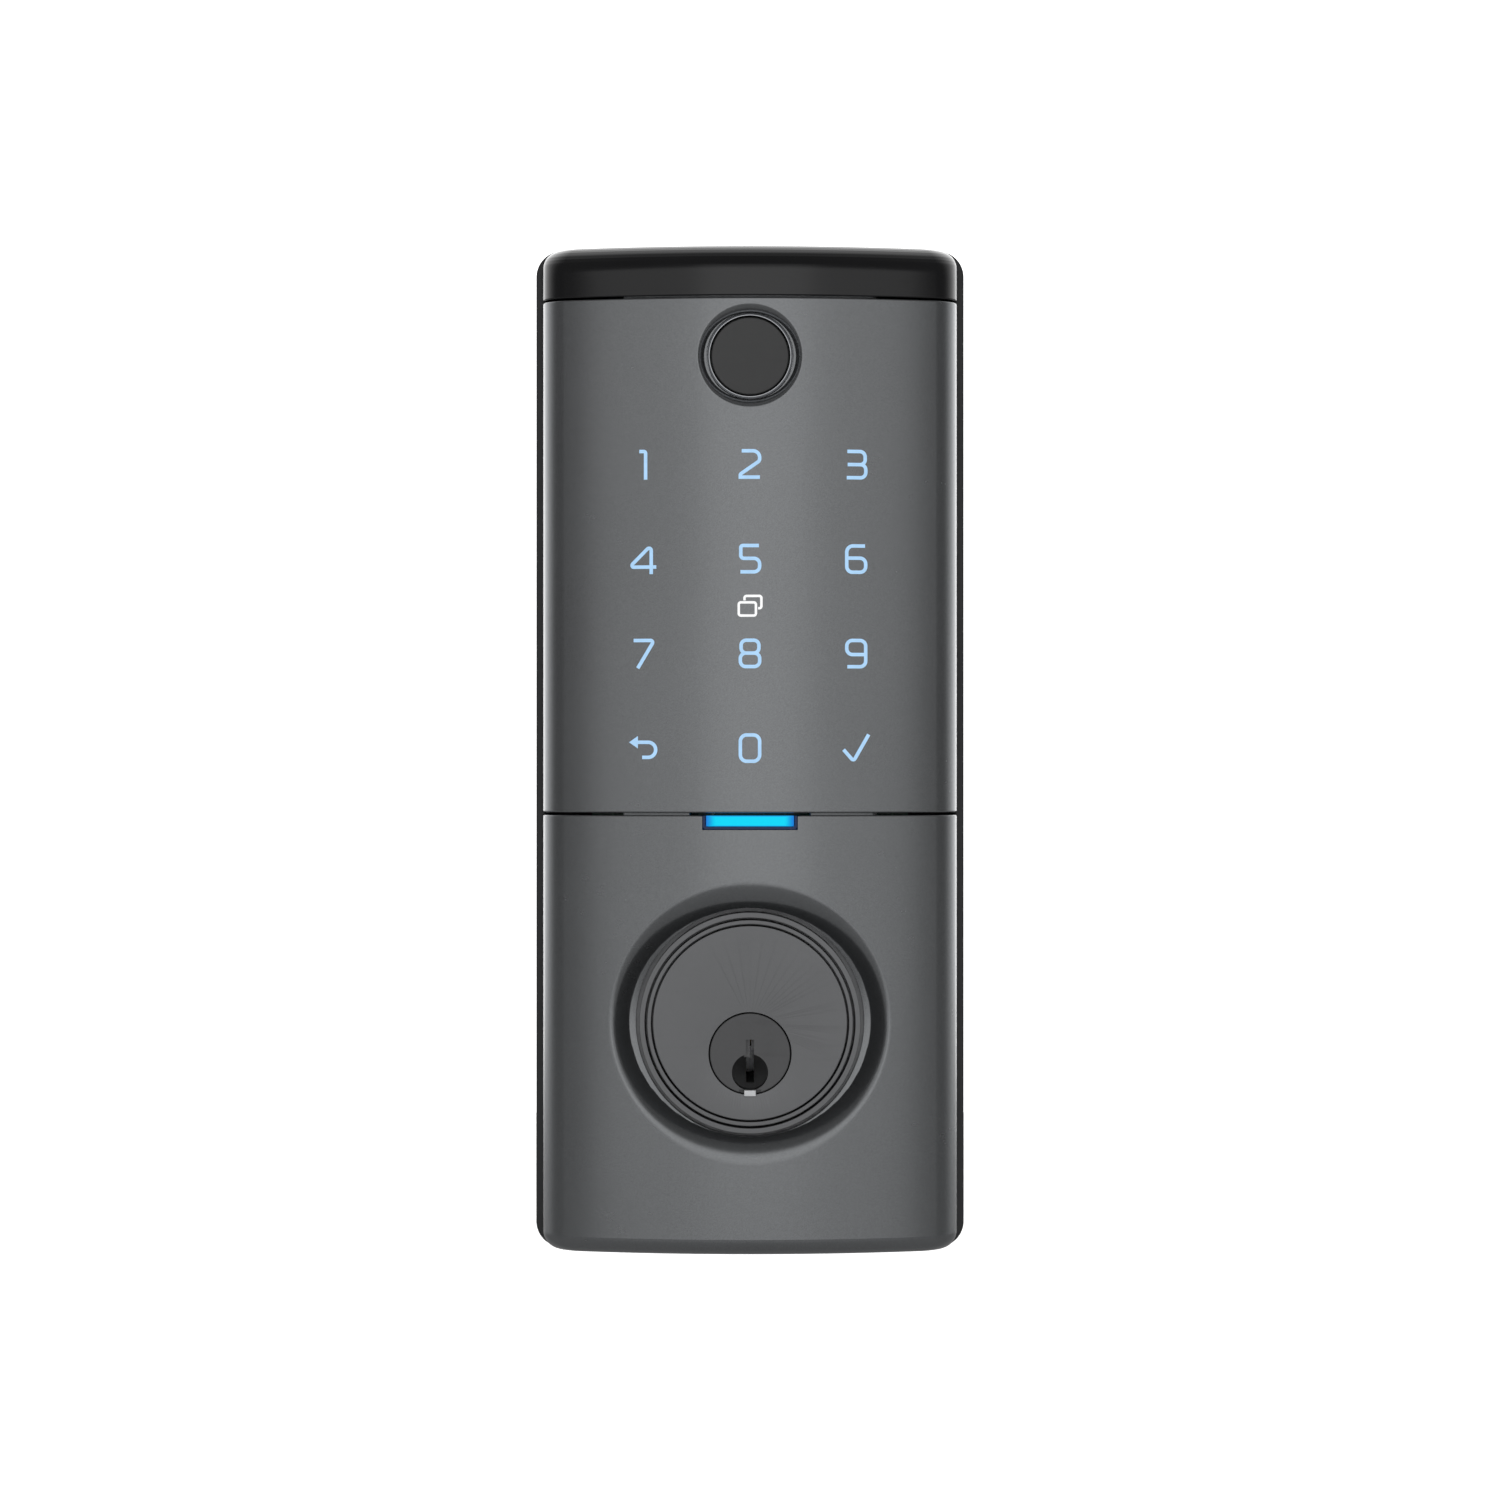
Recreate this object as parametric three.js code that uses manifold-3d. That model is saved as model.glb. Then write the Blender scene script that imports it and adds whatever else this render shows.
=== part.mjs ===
// Keypad smart lock: the outdoor unit of a deadbolt, with its touch keypad, fingerprint reader,
// status light, charging port, key cylinder, circuit boards, case and mounting hardware.
//
// Millimetres, +Z up. The origin is on the key plug's axis in the plane of the door, and the front
// faces -Y. Every shape is drawn in a front frame (x to the right, y up, z forward of the door),
// which one group turns upright at the end.

import * as THREE from 'three';
import { mergeVertices } from 'three/addons/utils/BufferGeometryUtils.js';
import Module from 'manifold-3d';

const wasm = await Module();
wasm.setup();

// ---------------------------------------------------------------- driving dimensions

// Clearances.
const GAP = 0.3; // between pieces that rest on each other
const SEAM = 0.4; // between the keypad panel and the lower cover
const CAP_SEAM = 0.3; // between the top cap and the keypad panel
const TURN_GAP = 0.2; // radial clearance of the plug
const REVEAL = 0.15; // shadow gap around what fills a cut-out of the front

// Front shell: top cap, keypad panel and lower cover share one outer surface.
const WIDTH = 66;
const LOWER_DROP = 31.8; // lower edge below the plug's axis
const SPLIT = 37.7; // joint between lower cover and keypad panel, above the plug's axis
const KEYPAD_HEIGHT = 81.5; // from that joint to the cap's joint
const CAP_HEIGHT = 8.5;
const CROWN = 26.5; // middle of the front, forward of the door
const WALL = 1.8;
const BOW_DROP = 6.667; // fall of the front's curve from its middle to its sides
const SIDE_FILLET = 5.5;
const TOP_ROLL = 5;
const BOTTOM_FILLET = 2.5;
const SHELL_CORNER = 3;
const TONGUE = 1; // thickness of the lips behind the seams
const TONGUE_REACH = 1.5;
const TONGUE_HALF = 20;

// Rear case, plate and gasket, counted forward from the door.
const PARTING = 13; // where the front shell meets the rear case
const CASE_STEP = 1.3; // the case stands out this far beside the shell
const CASE_END_STEP = 0.15; // and this far above and below it
const CASE_CORNER = 4.2;
const CASE_BACK = 1.5; // back edge of the case's rim
const GASKET_THICK = 1.2;
const GASKET_INSET = 0.9;
const PLATE_THICK = 1.5;
const PLATE_INSET = 3;

// Keypad and fingerprint reader.
const KEY_COLUMN_PITCH = 16.75;
const KEY_WINDOW = 9.6; // side of the square light well behind each key
const LOW_ROW_RISE = 10.4; // lowest row of keys above the joint
const TOP_ROW_DROP = 26.4; // highest row below the cap's joint
const FINGER_DROP = 9.3; // fingerprint reader's centre below the cap's joint
const FINGER_HOLE = 6.9;
const FINGER_BOSS_WALL = 1.9;
const FINGER_DISH_WIDTH = 1.1;
const FINGER_DISH_DEPTH = 1.3;
const RING_WIDTH = 0.4;

// Light bar in the top edge of the lower cover.
const BAR_WIDTH = 14.8;
const BAR_HEIGHT = 2.4;
const BAR_FRAME = 0.35;

// Key cylinder. Its face and collar share a centre above the plug's axis.
const COLLAR_RISE = 4.8;
const COLLAR_RADIUS = 17.45;
const COLLAR_WIDTH = 0.9;
const TRIM_WIDTH = 0.7;
const FACE_FRONT = 26; // flat face of the cylinder, forward of the door
const FACE_THICK = 4.2;
const DISH_FILLET = 4; // hollow around the collar
const DISH_DEPTH = 3.7;
const PLUG_HEAD = 6.35;
const PLUG_SHOULDER = 0.3; // the plug's head stands out this far beyond its shank
const HEAD_THICK = 2.3;
const BARREL_WALL = 2.6;
const BARREL_BACK = -2.4;
const BIBLE_HALF = 5.2; // the block over the plug that holds the driver pins
const BIBLE_TOP = 16.5;
const PIN_COUNT = 5;
const PIN_PITCH = 3.81;
const FIRST_PIN = 20.4;
const PIN_RADIUS = 1.45;
const PIN_SEAT = 1.9; // lower end of a key pin's straight side when no key is in
const PIN_CONE = 1;
const KEY_PIN_LENGTHS = [2.1, 2.8, 2.4, 3.1, 2.2];
const DRIVER_LENGTH = 3.6;
const SPRING_RADIUS = 0.95;
const SPRING_WIRE = 0.2;
const SPRING_TURNS = 4.5;
const KEYWAY_WIDTH = 1.24;
const KEYWAY_TOP = 2.2;
const KEYWAY_BOTTOM = -4.9;
const KEY_HOLE_RADIUS = 2.85;
const KEY_HOLE_CENTRE = -2.95;
const KEY_HOLE_DEPTH = 3;
const CAP_DEPTH = 3.8; // plug cap behind the barrel
const BLADE_WIDTH = 8;
const BLADE_THICK = 2;
const BLADE_END = -58;

// Fasteners and mounting hardware.
const POST_SPREAD = 17.5;
const POST_RADIUS = 4;
const POST_LENGTH = 14.7;
const POST_THREAD = 2.1;
const SCREW_RADIUS = 1.2;
const SCREW_HEAD = 2.5;
const SCREW_HEAD_THICK = 1.2;
const BOSS_RADIUS = 2.6;
const CYLINDER_SCREW_RADIUS = 1.4;
const CYLINDER_SCREW_ANGLE = Math.PI / 9; // above the level of the collar's centre

// Circuit boards and what they carry.
const BOARD_THICK = 1.2;
const TOUCH_BOARD_BACK = 17;
const MAIN_BOARD_BACK = 9;
const CABLE_RISE = 22.8; // cable outlet above the plug's axis, inside a 54 mm door bore
const CABLE_HALF_WIDTH = 4.6;
const CABLE_HALF_HEIGHT = 2.2;
const GROMMET_WALL = 1.2;

// Charging port in the case's lower edge.
const PORT_HALF_WIDTH = 4.47;
const PORT_THICK = 3.2;
const PORT_BACK = 6.5;
const PORT_SHELL = 0.35;
const FLAP_HALF_WIDTH = 7.1;
const FLAP_THICK = 1.2;
const FLAP_REACH = 11.7; // front edge of the closed flap, forward of the door
const FLAP_HINGE_FORWARD = 4.8;
const FLAP_BARREL = 0.9;

// ---------------------------------------------------------------- what follows from them

const HALF = WIDTH / 2;
const BOTTOM = -LOWER_DROP;
const CAP_LINE = SPLIT + KEYPAD_HEIGHT;
const TOP = CAP_LINE + CAP_HEIGHT;
const INNER_HALF = HALF - WALL;
const BOW_RADIUS = (HALF ** 2 + BOW_DROP ** 2) / (2 * BOW_DROP);
const BEHIND_WALL = WALL + GAP; // inset of what lies just behind the shell's wall

const CASE_HALF = HALF + CASE_STEP;
const CASE_TOP = TOP + CASE_END_STEP;
const CASE_BOTTOM = BOTTOM - CASE_END_STEP;
const PLATE_BACK = GASKET_THICK + GAP;
const PLATE_FRONT = PLATE_BACK + PLATE_THICK;
const FLOOR_BACK = PLATE_FRONT + GAP; // the case's back wall
const FLOOR_FRONT = FLOOR_BACK + WALL;

const BOSS_X = INNER_HALF - BOSS_RADIUS - 0.2;
const BOARD_HALF = BOSS_X - BOSS_RADIUS - 0.4;
const FINGER_UP = CAP_LINE - FINGER_DROP;
const FINGER_BOSS = FINGER_HOLE + FINGER_BOSS_WALL;
const FINGER_DISH = FINGER_HOLE + FINGER_DISH_WIDTH;
const LOW_ROW = SPLIT + LOW_ROW_RISE;
const ROW_PITCH = (CAP_LINE - TOP_ROW_DROP - LOW_ROW) / 3;
const GUIDE_MARGIN = 6.6; // light guide beyond the outer rows of keys
const GUIDE_LOW = LOW_ROW - GUIDE_MARGIN;
const GUIDE_HIGH = LOW_ROW + 3 * ROW_PITCH + GUIDE_MARGIN;
const TOUCH_BOARD_FRONT = TOUCH_BOARD_BACK + BOARD_THICK;
const MAIN_BOARD_FRONT = MAIN_BOARD_BACK + BOARD_THICK;
const MAIN_BOARD_LOW = SPLIT - 4;
const MAIN_BOARD_HIGH = CAP_LINE - 3;

const COLLAR_INNER = COLLAR_RADIUS - COLLAR_WIDTH;
const TRIM_RADIUS = COLLAR_INNER - GAP;
const FACE_RADIUS = TRIM_RADIUS - TRIM_WIDTH - GAP;
const FACE_BACK = FACE_FRONT - FACE_THICK;
const COLLAR_LIP = FACE_RADIUS - 0.35; // inner radius of the collar behind the cylinder's face
const CYLINDER_SCREW_RING = COLLAR_LIP - GAP - BOSS_RADIUS;
const COLLAR_HOLE = COLLAR_RADIUS + GAP;
const DISH_FLOOR = CROWN - DISH_DEPTH;
const COVER_FLOOR_BACK = DISH_FLOOR - WALL;
const FLANGE_FRONT = COVER_FLOOR_BACK - GAP;
const FLANGE_BACK = FLANGE_FRONT - 1.3;
const FLANGE_RADIUS = COLLAR_RADIUS + 2.3;
const HEAD_BACK = FACE_FRONT - HEAD_THICK;
const PLUG_BACK = BARREL_BACK - GAP;
const BARREL_RADIUS = PLUG_HEAD + BARREL_WALL;
const PLUG_SHANK = PLUG_HEAD - PLUG_SHOULDER;
const DRIVER_REST = PLUG_SHANK + 0.4;
const DRIVER_TOP = DRIVER_REST + DRIVER_LENGTH;
const PIN_CHAMBER = PIN_RADIUS + 0.15;
const SPRING_COVER_TOP = BIBLE_TOP + GAP + 0.8;

const SCREW_FLOOR = FLOOR_BACK - GAP; // underside of the screw heads on the case's back wall
const BOSS_BACK = FLOOR_FRONT + GAP;

const round = Math.PI * 2;
const sides = 44; // of the large round pieces
const pinSides = 12;
const circumscribed = (radius, count) => radius / Math.cos(Math.PI / count);

// ---------------------------------------------------------------- solids

/** A closed geometry as a solid that can be joined and cut. */
function solid(geometry) {
  const bare = geometry.clone();
  bare.deleteAttribute('normal');
  bare.deleteAttribute('uv');
  const merged = mergeVertices(bare, 1e-4);
  const triangles = [];
  for (let i = 0; i < merged.index.count; i += 3) {
    const [a, b, c] = merged.index.array.slice(i, i + 3);
    if (a !== b && b !== c && c !== a) triangles.push(a, b, c);
  }
  return new wasm.Manifold(new wasm.Mesh({
    numProp: 3,
    vertProperties: merged.attributes.position.array,
    triVerts: new Uint32Array(triangles),
  }));
}

/** Points of an arc, its first and last included. */
function arc(centreX, centreY, radius, from, to, steps) {
  const points = [];
  for (let i = 0; i <= steps; i += 1) {
    const angle = from + ((to - from) * i) / steps;
    points.push(new THREE.Vector2(centreX + radius * Math.cos(angle), centreY + radius * Math.sin(angle)));
  }
  return points;
}

const points = (...pairs) => pairs.map(([x, y]) => new THREE.Vector2(x, y));

/** Outline of a rectangle with round corners. */
function roundedRectangle(x0, x1, y0, y1, radius, steps = 3) {
  const quarter = Math.PI / 2;
  return [
    ...arc(x1 - radius, y0 + radius, radius, -quarter, 0, steps),
    ...arc(x1 - radius, y1 - radius, radius, 0, quarter, steps),
    ...arc(x0 + radius, y1 - radius, radius, quarter, 2 * quarter, steps),
    ...arc(x0 + radius, y0 + radius, radius, 2 * quarter, 3 * quarter, steps),
  ];
}

const extrude = (outline, depth) => (
  new THREE.ExtrudeGeometry(new THREE.Shape(outline), { depth, bevelEnabled: false })
);

/** An (x, up) outline between two distances from the door. */
const slab = (outline, back, front) => solid(extrude(outline, front - back).translate(0, 0, back));

/** An (x, forward) outline between two heights. */
const raised = (outline, low, high) => (
  solid(extrude(outline, high - low).rotateX(Math.PI / 2).translate(0, high, 0))
);

/** A (forward, up) outline from one side to the other. */
const across = (outline, left, right) => (
  solid(extrude(outline, right - left).rotateY(-Math.PI / 2).translate(right, 0, 0))
);

/** A box between two corners. */
function block(x0, x1, low, high, back, front) {
  const box = new THREE.BoxGeometry(x1 - x0, high - low, front - back);
  return solid(box.translate((x0 + x1) / 2, (low + high) / 2, (back + front) / 2));
}

/** A round bar pointing forward. */
function rod(x, up, radius, back, front, count = 20) {
  const bar = new THREE.CylinderGeometry(radius, radius, front - back, count);
  return solid(bar.rotateX(Math.PI / 2).translate(x, up, (back + front) / 2));
}

/** A round hole's cutter, whose flats clear the given radius. */
const bore = (x, up, radius, back, front, count = 20) => (
  rod(x, up, circumscribed(radius, count), back, front, count)
);

/** A (radius, forward) profile turned about an axis that points forward. */
const turned = (profile, x = 0, up = 0, count = sides) => (
  solid(new THREE.LatheGeometry(profile, count).rotateX(Math.PI / 2).translate(x, up, 0))
);

/** A flat-ended ring around an axis that points forward. */
const ring = (x, up, inner, outer, back, front, count = sides) => turned(
  points([inner, back], [outer, back], [outer, front], [inner, front], [inner, back]),
  x,
  up,
  count,
);

/** A (radius, up) profile turned about an upright axis. */
const upright = (profile, forward, count = pinSides) => (
  solid(new THREE.LatheGeometry(profile, count).translate(0, 0, forward))
);

const join = (...solids) => solids.reduce((whole, next) => whole.add(next));
const cut = (whole, ...cutters) => cutters.reduce((rest, next) => rest.subtract(next), whole);
const bothSides = (make) => [make(-1), make(1)];

// ---------------------------------------------------------------- the front's outer surface

/**
 * The space inside the front shell's outer surface, drawn in by an inset: a bowed section with
 * filleted sides, a rolled upper edge, a filleted lower edge and round corners.
 */
function frontBody(inset, back = PARTING) {
  const half = HALF - inset;
  const radius = BOW_RADIUS - inset;
  const fillet = SIDE_FILLET - inset;
  const bowCentre = CROWN - BOW_RADIUS;
  const filletX = half - fillet;
  const filletY = bowCentre + Math.sqrt((radius - fillet) ** 2 - filletX ** 2);
  const meet = Math.atan2(filletY - bowCentre, filletX);
  const section = [
    ...points([-half, back], [half, back]),
    ...arc(filletX, filletY, fillet, 0, meet, 4),
    ...arc(0, bowCentre, radius, meet, Math.PI - meet, 12).slice(1, -1),
    ...arc(-filletX, filletY, fillet, Math.PI - meet, Math.PI, 4),
  ];
  const crown = CROWN - inset;
  const top = TOP - inset;
  const bottom = BOTTOM + inset;
  const roll = TOP_ROLL - inset;
  const lowFillet = Math.max(BOTTOM_FILLET - inset, 0.3);
  const profile = [
    ...points([back, top], [back, bottom]),
    ...arc(crown - lowFillet, bottom + lowFillet, lowFillet, -Math.PI / 2, 0, 2),
    ...arc(crown - roll, top - roll, roll, 0, Math.PI / 2, 5),
  ];
  const corner = Math.max(SHELL_CORNER - inset, 0.3);
  const outline = roundedRectangle(-half, half, bottom, top, corner);
  return raised(section, bottom - 1, top + 1)
    .intersect(across(profile, -half - 1, half + 1))
    .intersect(slab(outline, back, crown + 1));
}

const outerBody = frontBody(0, PARTING + GAP / 2);
const innerBody = frontBody(WALL, PARTING - 1);
const midWall = frontBody(WALL / 2, 0);
const shell = outerBody.subtract(innerBody);

/** A screw boss from the back of the front shell, merged with its wall. */
function boss(x, up, back, radius = BOSS_RADIUS) {
  return rod(x, up, radius, back, CROWN, 14).intersect(midWall);
}

const pilot = (x, up, back, radius = SCREW_RADIUS) => bore(x, up, radius + GAP, back - 1, back + 9, 12);

/** A lip that joins the wall on one side of a seam and reaches behind it on the other. */
function tongue(x0, x1, low, high, seamLow, seamHigh) {
  const inner = frontBody(BEHIND_WALL + TONGUE, 0);
  const lip = frontBody(BEHIND_WALL, 0).subtract(inner);
  const root = frontBody(WALL / 2, 0).subtract(inner);
  return join(
    lip.intersect(block(x0, x1, low, high, PARTING + 5, CROWN)),
    root.intersect(block(x0, x1, seamLow, seamHigh, PARTING + 5, CROWN)),
  );
}

const capBosses = bothSides((side) => [side * (BOSS_X - 4.5), TOP - WALL - BOSS_RADIUS - 0.8]);
const panelBosses = bothSides((side) => [side * BOSS_X, SPLIT + 5]);
const coverBosses = bothSides((side) => [side * (BOSS_X - 1), BOTTOM + WALL + BOSS_RADIUS + 1.2]);
const caseScrews = [...capBosses, ...panelBosses, ...coverBosses];
const boardBosses = bothSides((side) => [side * (BOARD_HALF - 4.4), GUIDE_HIGH + 4.2]);

const behindHead = (x, up) => rod(x, up, SCREW_HEAD + GAP, 0, PLATE_FRONT + 1, 14);

// ---------------------------------------------------------------- materials

const finish = (color, roughness, metalness) => (
  new THREE.MeshStandardMaterial({ color, roughness, metalness })
);
const satinGrey = finish(0x67686b, 0.4, 0.5);
const glossBlack = finish(0x101113, 0.1, 0);
const mattBlack = finish(0x2b2c2e, 0.6, 0);
const cylinderGrey = finish(0x6d6e71, 0.35, 0.8);
const plugGrey = finish(0x545556, 0.45, 0.8);
const sensorGrey = finish(0x444546, 0.3, 0.2);
const ringSilver = finish(0xb9bdc2, 0.25, 0.9);
const barCyan = finish(0x0ae1ff, 0.3, 0);
const barBlue = finish(0x10306a, 0.4, 0);
const tabSilver = finish(0xd0d1d3, 0.4, 0.6);
const brass = finish(0xb89a55, 0.35, 0.9);
const steel = finish(0x9a9c9f, 0.4, 0.9);
const zincPlate = finish(0xa9adb0, 0.5, 0.9);
const springSteel = finish(0x8d8f92, 0.3, 1);
const boardGreen = finish(0x1d4a33, 0.5, 0);
const whitePlastic = finish(0xe4e4e0, 0.5, 0);
const chipBlack = finish(0x18181a, 0.5, 0);
const rubber = finish(0x1c1c1d, 0.85, 0);
const copper = finish(0xb8693a, 0.4, 0.9);

// ---------------------------------------------------------------- the assembly

const front = new THREE.Group();
front.rotation.x = Math.PI / 2;

/** Adds one named sub-part to the assembly. */
function piece(name, material, body) {
  const { vertProperties, triVerts } = body.getMesh();
  const geometry = new THREE.BufferGeometry();
  geometry.setAttribute('position', new THREE.BufferAttribute(vertProperties, 3));
  geometry.setIndex(new THREE.BufferAttribute(triVerts, 1));
  geometry.computeVertexNormals();
  const mesh = new THREE.Mesh(geometry, material);
  mesh.name = name;
  front.add(mesh);
}

// ---- front shell

function topCap() {
  const cap = shell.intersect(block(-HALF - 1, HALF + 1, CAP_LINE + CAP_SEAM / 2, TOP + 1, 0, CROWN + 1));
  const above = block(-HALF, HALF, CAP_LINE + CAP_SEAM / 2, TOP, 0, CROWN);
  const bosses = capBosses.map(([x, up]) => boss(x, up, BOSS_BACK).intersect(above));
  return cut(join(cap, ...bosses), ...capBosses.map(([x, up]) => pilot(x, up, BOSS_BACK)));
}

function keypadPanel() {
  const low = SPLIT + SEAM / 2;
  const high = CAP_LINE - CAP_SEAM / 2;
  const band = block(-HALF - 1, HALF + 1, low, high, 0, CROWN + 1);
  const wall = shell.intersect(band);
  const screwBosses = panelBosses.map(([x, up]) => boss(x, up, BOSS_BACK));
  const boardPillars = boardBosses.map(([x, up]) => boss(x, up, MAIN_BOARD_FRONT + GAP));
  const seat = rod(0, FINGER_UP, FINGER_BOSS, CROWN - 4.1, CROWN, sides).intersect(midWall).intersect(band);
  const lip = tongue(
    -TONGUE_HALF,
    TONGUE_HALF,
    high - 1,
    CAP_LINE + CAP_SEAM / 2 + TONGUE_REACH,
    high - 2,
    high,
  );
  const dishFloor = CROWN - FINGER_DISH_DEPTH;
  const slope = FINGER_DISH - FINGER_HOLE;
  const dish = turned(
    [
      ...points([0, dishFloor]),
      ...arc(FINGER_HOLE, dishFloor + slope, slope, -Math.PI / 2, 0, 3),
      ...points([FINGER_DISH, CROWN + 1], [0, CROWN + 1]),
    ],
    0,
    FINGER_UP,
  );
  return cut(
    join(wall, ...screwBosses, ...boardPillars, seat, lip),
    dish,
    bore(0, FINGER_UP, FINGER_HOLE, CROWN - 6, CROWN + 1, sides),
    ...panelBosses.map(([x, up]) => pilot(x, up, BOSS_BACK)),
    ...boardBosses.map(([x, up]) => (
      bore(x, up, SCREW_RADIUS + GAP, MAIN_BOARD_FRONT, MAIN_BOARD_FRONT + 7, 12)
    )),
  );
}

function lowerCover() {
  const high = SPLIT - SEAM / 2;
  const wall = shell.intersect(block(-HALF - 1, HALF + 1, BOTTOM - 1, high, 0, CROWN + 1));
  const dishOuter = COLLAR_HOLE + DISH_FILLET;
  const bowl = rod(0, COLLAR_RISE, dishOuter + 1.3, COVER_FLOOR_BACK, CROWN, sides).intersect(midWall);
  const dish = turned(
    [
      ...points([0, DISH_FLOOR]),
      ...arc(COLLAR_HOLE, DISH_FLOOR + DISH_FILLET, DISH_FILLET, -Math.PI / 2, 0, 5),
      ...points([dishOuter, CROWN + 2], [0, CROWN + 2]),
    ],
    0,
    COLLAR_RISE,
  );
  const barEdge = BAR_WIDTH / 2 + REVEAL;
  const tongueStart = BAR_WIDTH / 2 + 2;
  const lips = [[-TONGUE_HALF, -tongueStart], [tongueStart, TONGUE_HALF]].map(([x0, x1]) => (
    tongue(x0, x1, high - 1, SPLIT + SEAM / 2 + TONGUE_REACH, high - 2, high)
  ));
  const bosses = coverBosses.map(([x, up]) => boss(x, up, BOSS_BACK));
  return cut(
    join(wall, bowl, ...bosses, ...lips),
    dish,
    bore(0, COLLAR_RISE, COLLAR_HOLE, COVER_FLOOR_BACK - 1, CROWN, sides),
    block(-barEdge, barEdge, high - BAR_HEIGHT - REVEAL, SPLIT + 1, PARTING, CROWN + 1),
    ...coverBosses.map(([x, up]) => pilot(x, up, BOSS_BACK)),
  );
}

piece('top_cap', glossBlack, topCap());
piece('keypad_panel', satinGrey, keypadPanel());
piece('lower_cover', satinGrey, lowerCover());

// ---- light bar

const barHigh = SPLIT - SEAM / 2 - REVEAL / 2;
const barLow = SPLIT - SEAM / 2 - BAR_HEIGHT;
const barBack = CROWN - WALL - GAP; // just behind the shell's wall
const flangeBack = barBack - 1.6; // back of the lens
const lensHalf = BAR_WIDTH / 2 - BAR_FRAME - REVEAL;
const lensLow = barLow + BAR_FRAME + REVEAL;

function lightBarLens() {
  const flangeHalf = BAR_WIDTH / 2 + 1.4;
  const window = block(-lensHalf, lensHalf, lensLow, barHigh, barBack - 1, CROWN);
  const flange = block(-flangeHalf, flangeHalf, barLow - 1.2, barHigh, flangeBack, barBack);
  return join(window.intersect(frontBody(REVEAL, 0)), flange.intersect(frontBody(BEHIND_WALL, 0)));
}

function lightBarBezel() {
  const half = BAR_WIDTH / 2;
  const frame = block(-half, half, barLow, barHigh, barBack + GAP, CROWN).intersect(frontBody(0.1, 0));
  return cut(frame, block(
    -half + BAR_FRAME,
    half - BAR_FRAME,
    barLow + BAR_FRAME,
    barHigh + 1,
    barBack,
    CROWN + 1,
  ));
}

const barBoardFront = flangeBack - 4;
piece('light_bar_lens', barCyan, lightBarLens());
piece('light_bar_bezel', barBlue, lightBarBezel());
piece('light_bar_board', boardGreen, block(
  -9,
  9,
  SPLIT - 7,
  SPLIT - 0.8,
  barBoardFront - BOARD_THICK,
  barBoardFront,
));

// ---- fingerprint reader

const ringOuter = FINGER_HOLE - 0.15;
const ringInner = ringOuter - RING_WIDTH;
const sensorRadius = ringInner - 0.2;
const seatBack = CROWN - 4.1;
const ringFlange = FINGER_BOSS - 0.5;
const ringFront = CROWN - FINGER_DISH_DEPTH + 0.3;
const fingerBoardFront = seatBack - GAP - 1.1 - GAP;
const fingerBoardBack = fingerBoardFront - 1;

function fingerprintHolder() {
  const floorFront = fingerBoardBack - GAP;
  const cup = cut(
    rod(0, FINGER_UP, FINGER_BOSS, floorFront - 1.2, seatBack - GAP - 1.3, sides),
    bore(0, FINGER_UP, FINGER_BOSS - 0.8, floorFront, seatBack, sides),
  );
  return cut(cup, block(-3, 3, FINGER_UP - FINGER_BOSS - 1, FINGER_UP - 4, floorFront - 2, seatBack));
}

piece('fingerprint_ring', ringSilver, turned(
  points(
    [ringInner, seatBack - GAP - 1.1],
    [ringFlange, seatBack - GAP - 1.1],
    [ringFlange, seatBack - GAP],
    [ringOuter, seatBack - GAP],
    [ringOuter, ringFront],
    [ringInner, ringFront],
    [ringInner, seatBack - GAP - 1.1],
  ),
  0,
  FINGER_UP,
));
piece('fingerprint_sensor', sensorGrey, rod(
  0,
  FINGER_UP,
  sensorRadius,
  seatBack - GAP - 1.1,
  ringFront - 0.3,
  sides,
));
piece('fingerprint_board', boardGreen, rod(
  0,
  FINGER_UP,
  FINGER_BOSS - 1.2,
  fingerBoardBack,
  fingerBoardFront,
  32,
));
piece('fingerprint_holder', mattBlack, fingerprintHolder());

// ---- keypad light guide and touch board

function lightGuide() {
  const body = block(-BOARD_HALF, BOARD_HALF, GUIDE_LOW, GUIDE_HIGH, TOUCH_BOARD_FRONT + GAP, CROWN)
    .intersect(frontBody(BEHIND_WALL, 0));
  const half = KEY_WINDOW / 2;
  const wells = [];
  for (const column of [-1, 0, 1]) {
    for (let row = 0; row < 4; row += 1) {
      const x = column * KEY_COLUMN_PITCH;
      const up = LOW_ROW + row * ROW_PITCH;
      wells.push(block(x - half, x + half, up - half, up + half, TOUCH_BOARD_BACK, CROWN));
    }
  }
  return cut(body, ...wells);
}

function nfcAntenna() {
  const up = LOW_ROW + 1.5 * ROW_PITCH;
  const front = TOUCH_BOARD_BACK - GAP;
  const outer = slab(roundedRectangle(-17, 17, up - 12, up + 12, 3), front - 0.4, front);
  return cut(outer, slab(roundedRectangle(-14.6, 14.6, up - 9.6, up + 9.6, 1.5), front - 1, front + 1));
}

piece('light_guide', whitePlastic, lightGuide());
piece('touch_board', boardGreen, block(
  -BOARD_HALF,
  BOARD_HALF,
  GUIDE_LOW,
  GUIDE_HIGH,
  TOUCH_BOARD_BACK,
  TOUCH_BOARD_FRONT,
));
piece('nfc_antenna', copper, nfcAntenna());

// ---- main board and what is soldered to it

function mainBoard() {
  const board = block(
    -BOARD_HALF,
    BOARD_HALF,
    MAIN_BOARD_LOW,
    MAIN_BOARD_HIGH,
    MAIN_BOARD_BACK,
    MAIN_BOARD_FRONT,
  );
  return cut(board, ...boardBosses.map(([x, up]) => (
    bore(x, up, SCREW_RADIUS + GAP, MAIN_BOARD_BACK - 1, MAIN_BOARD_FRONT + 1, 12)
  )));
}

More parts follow.
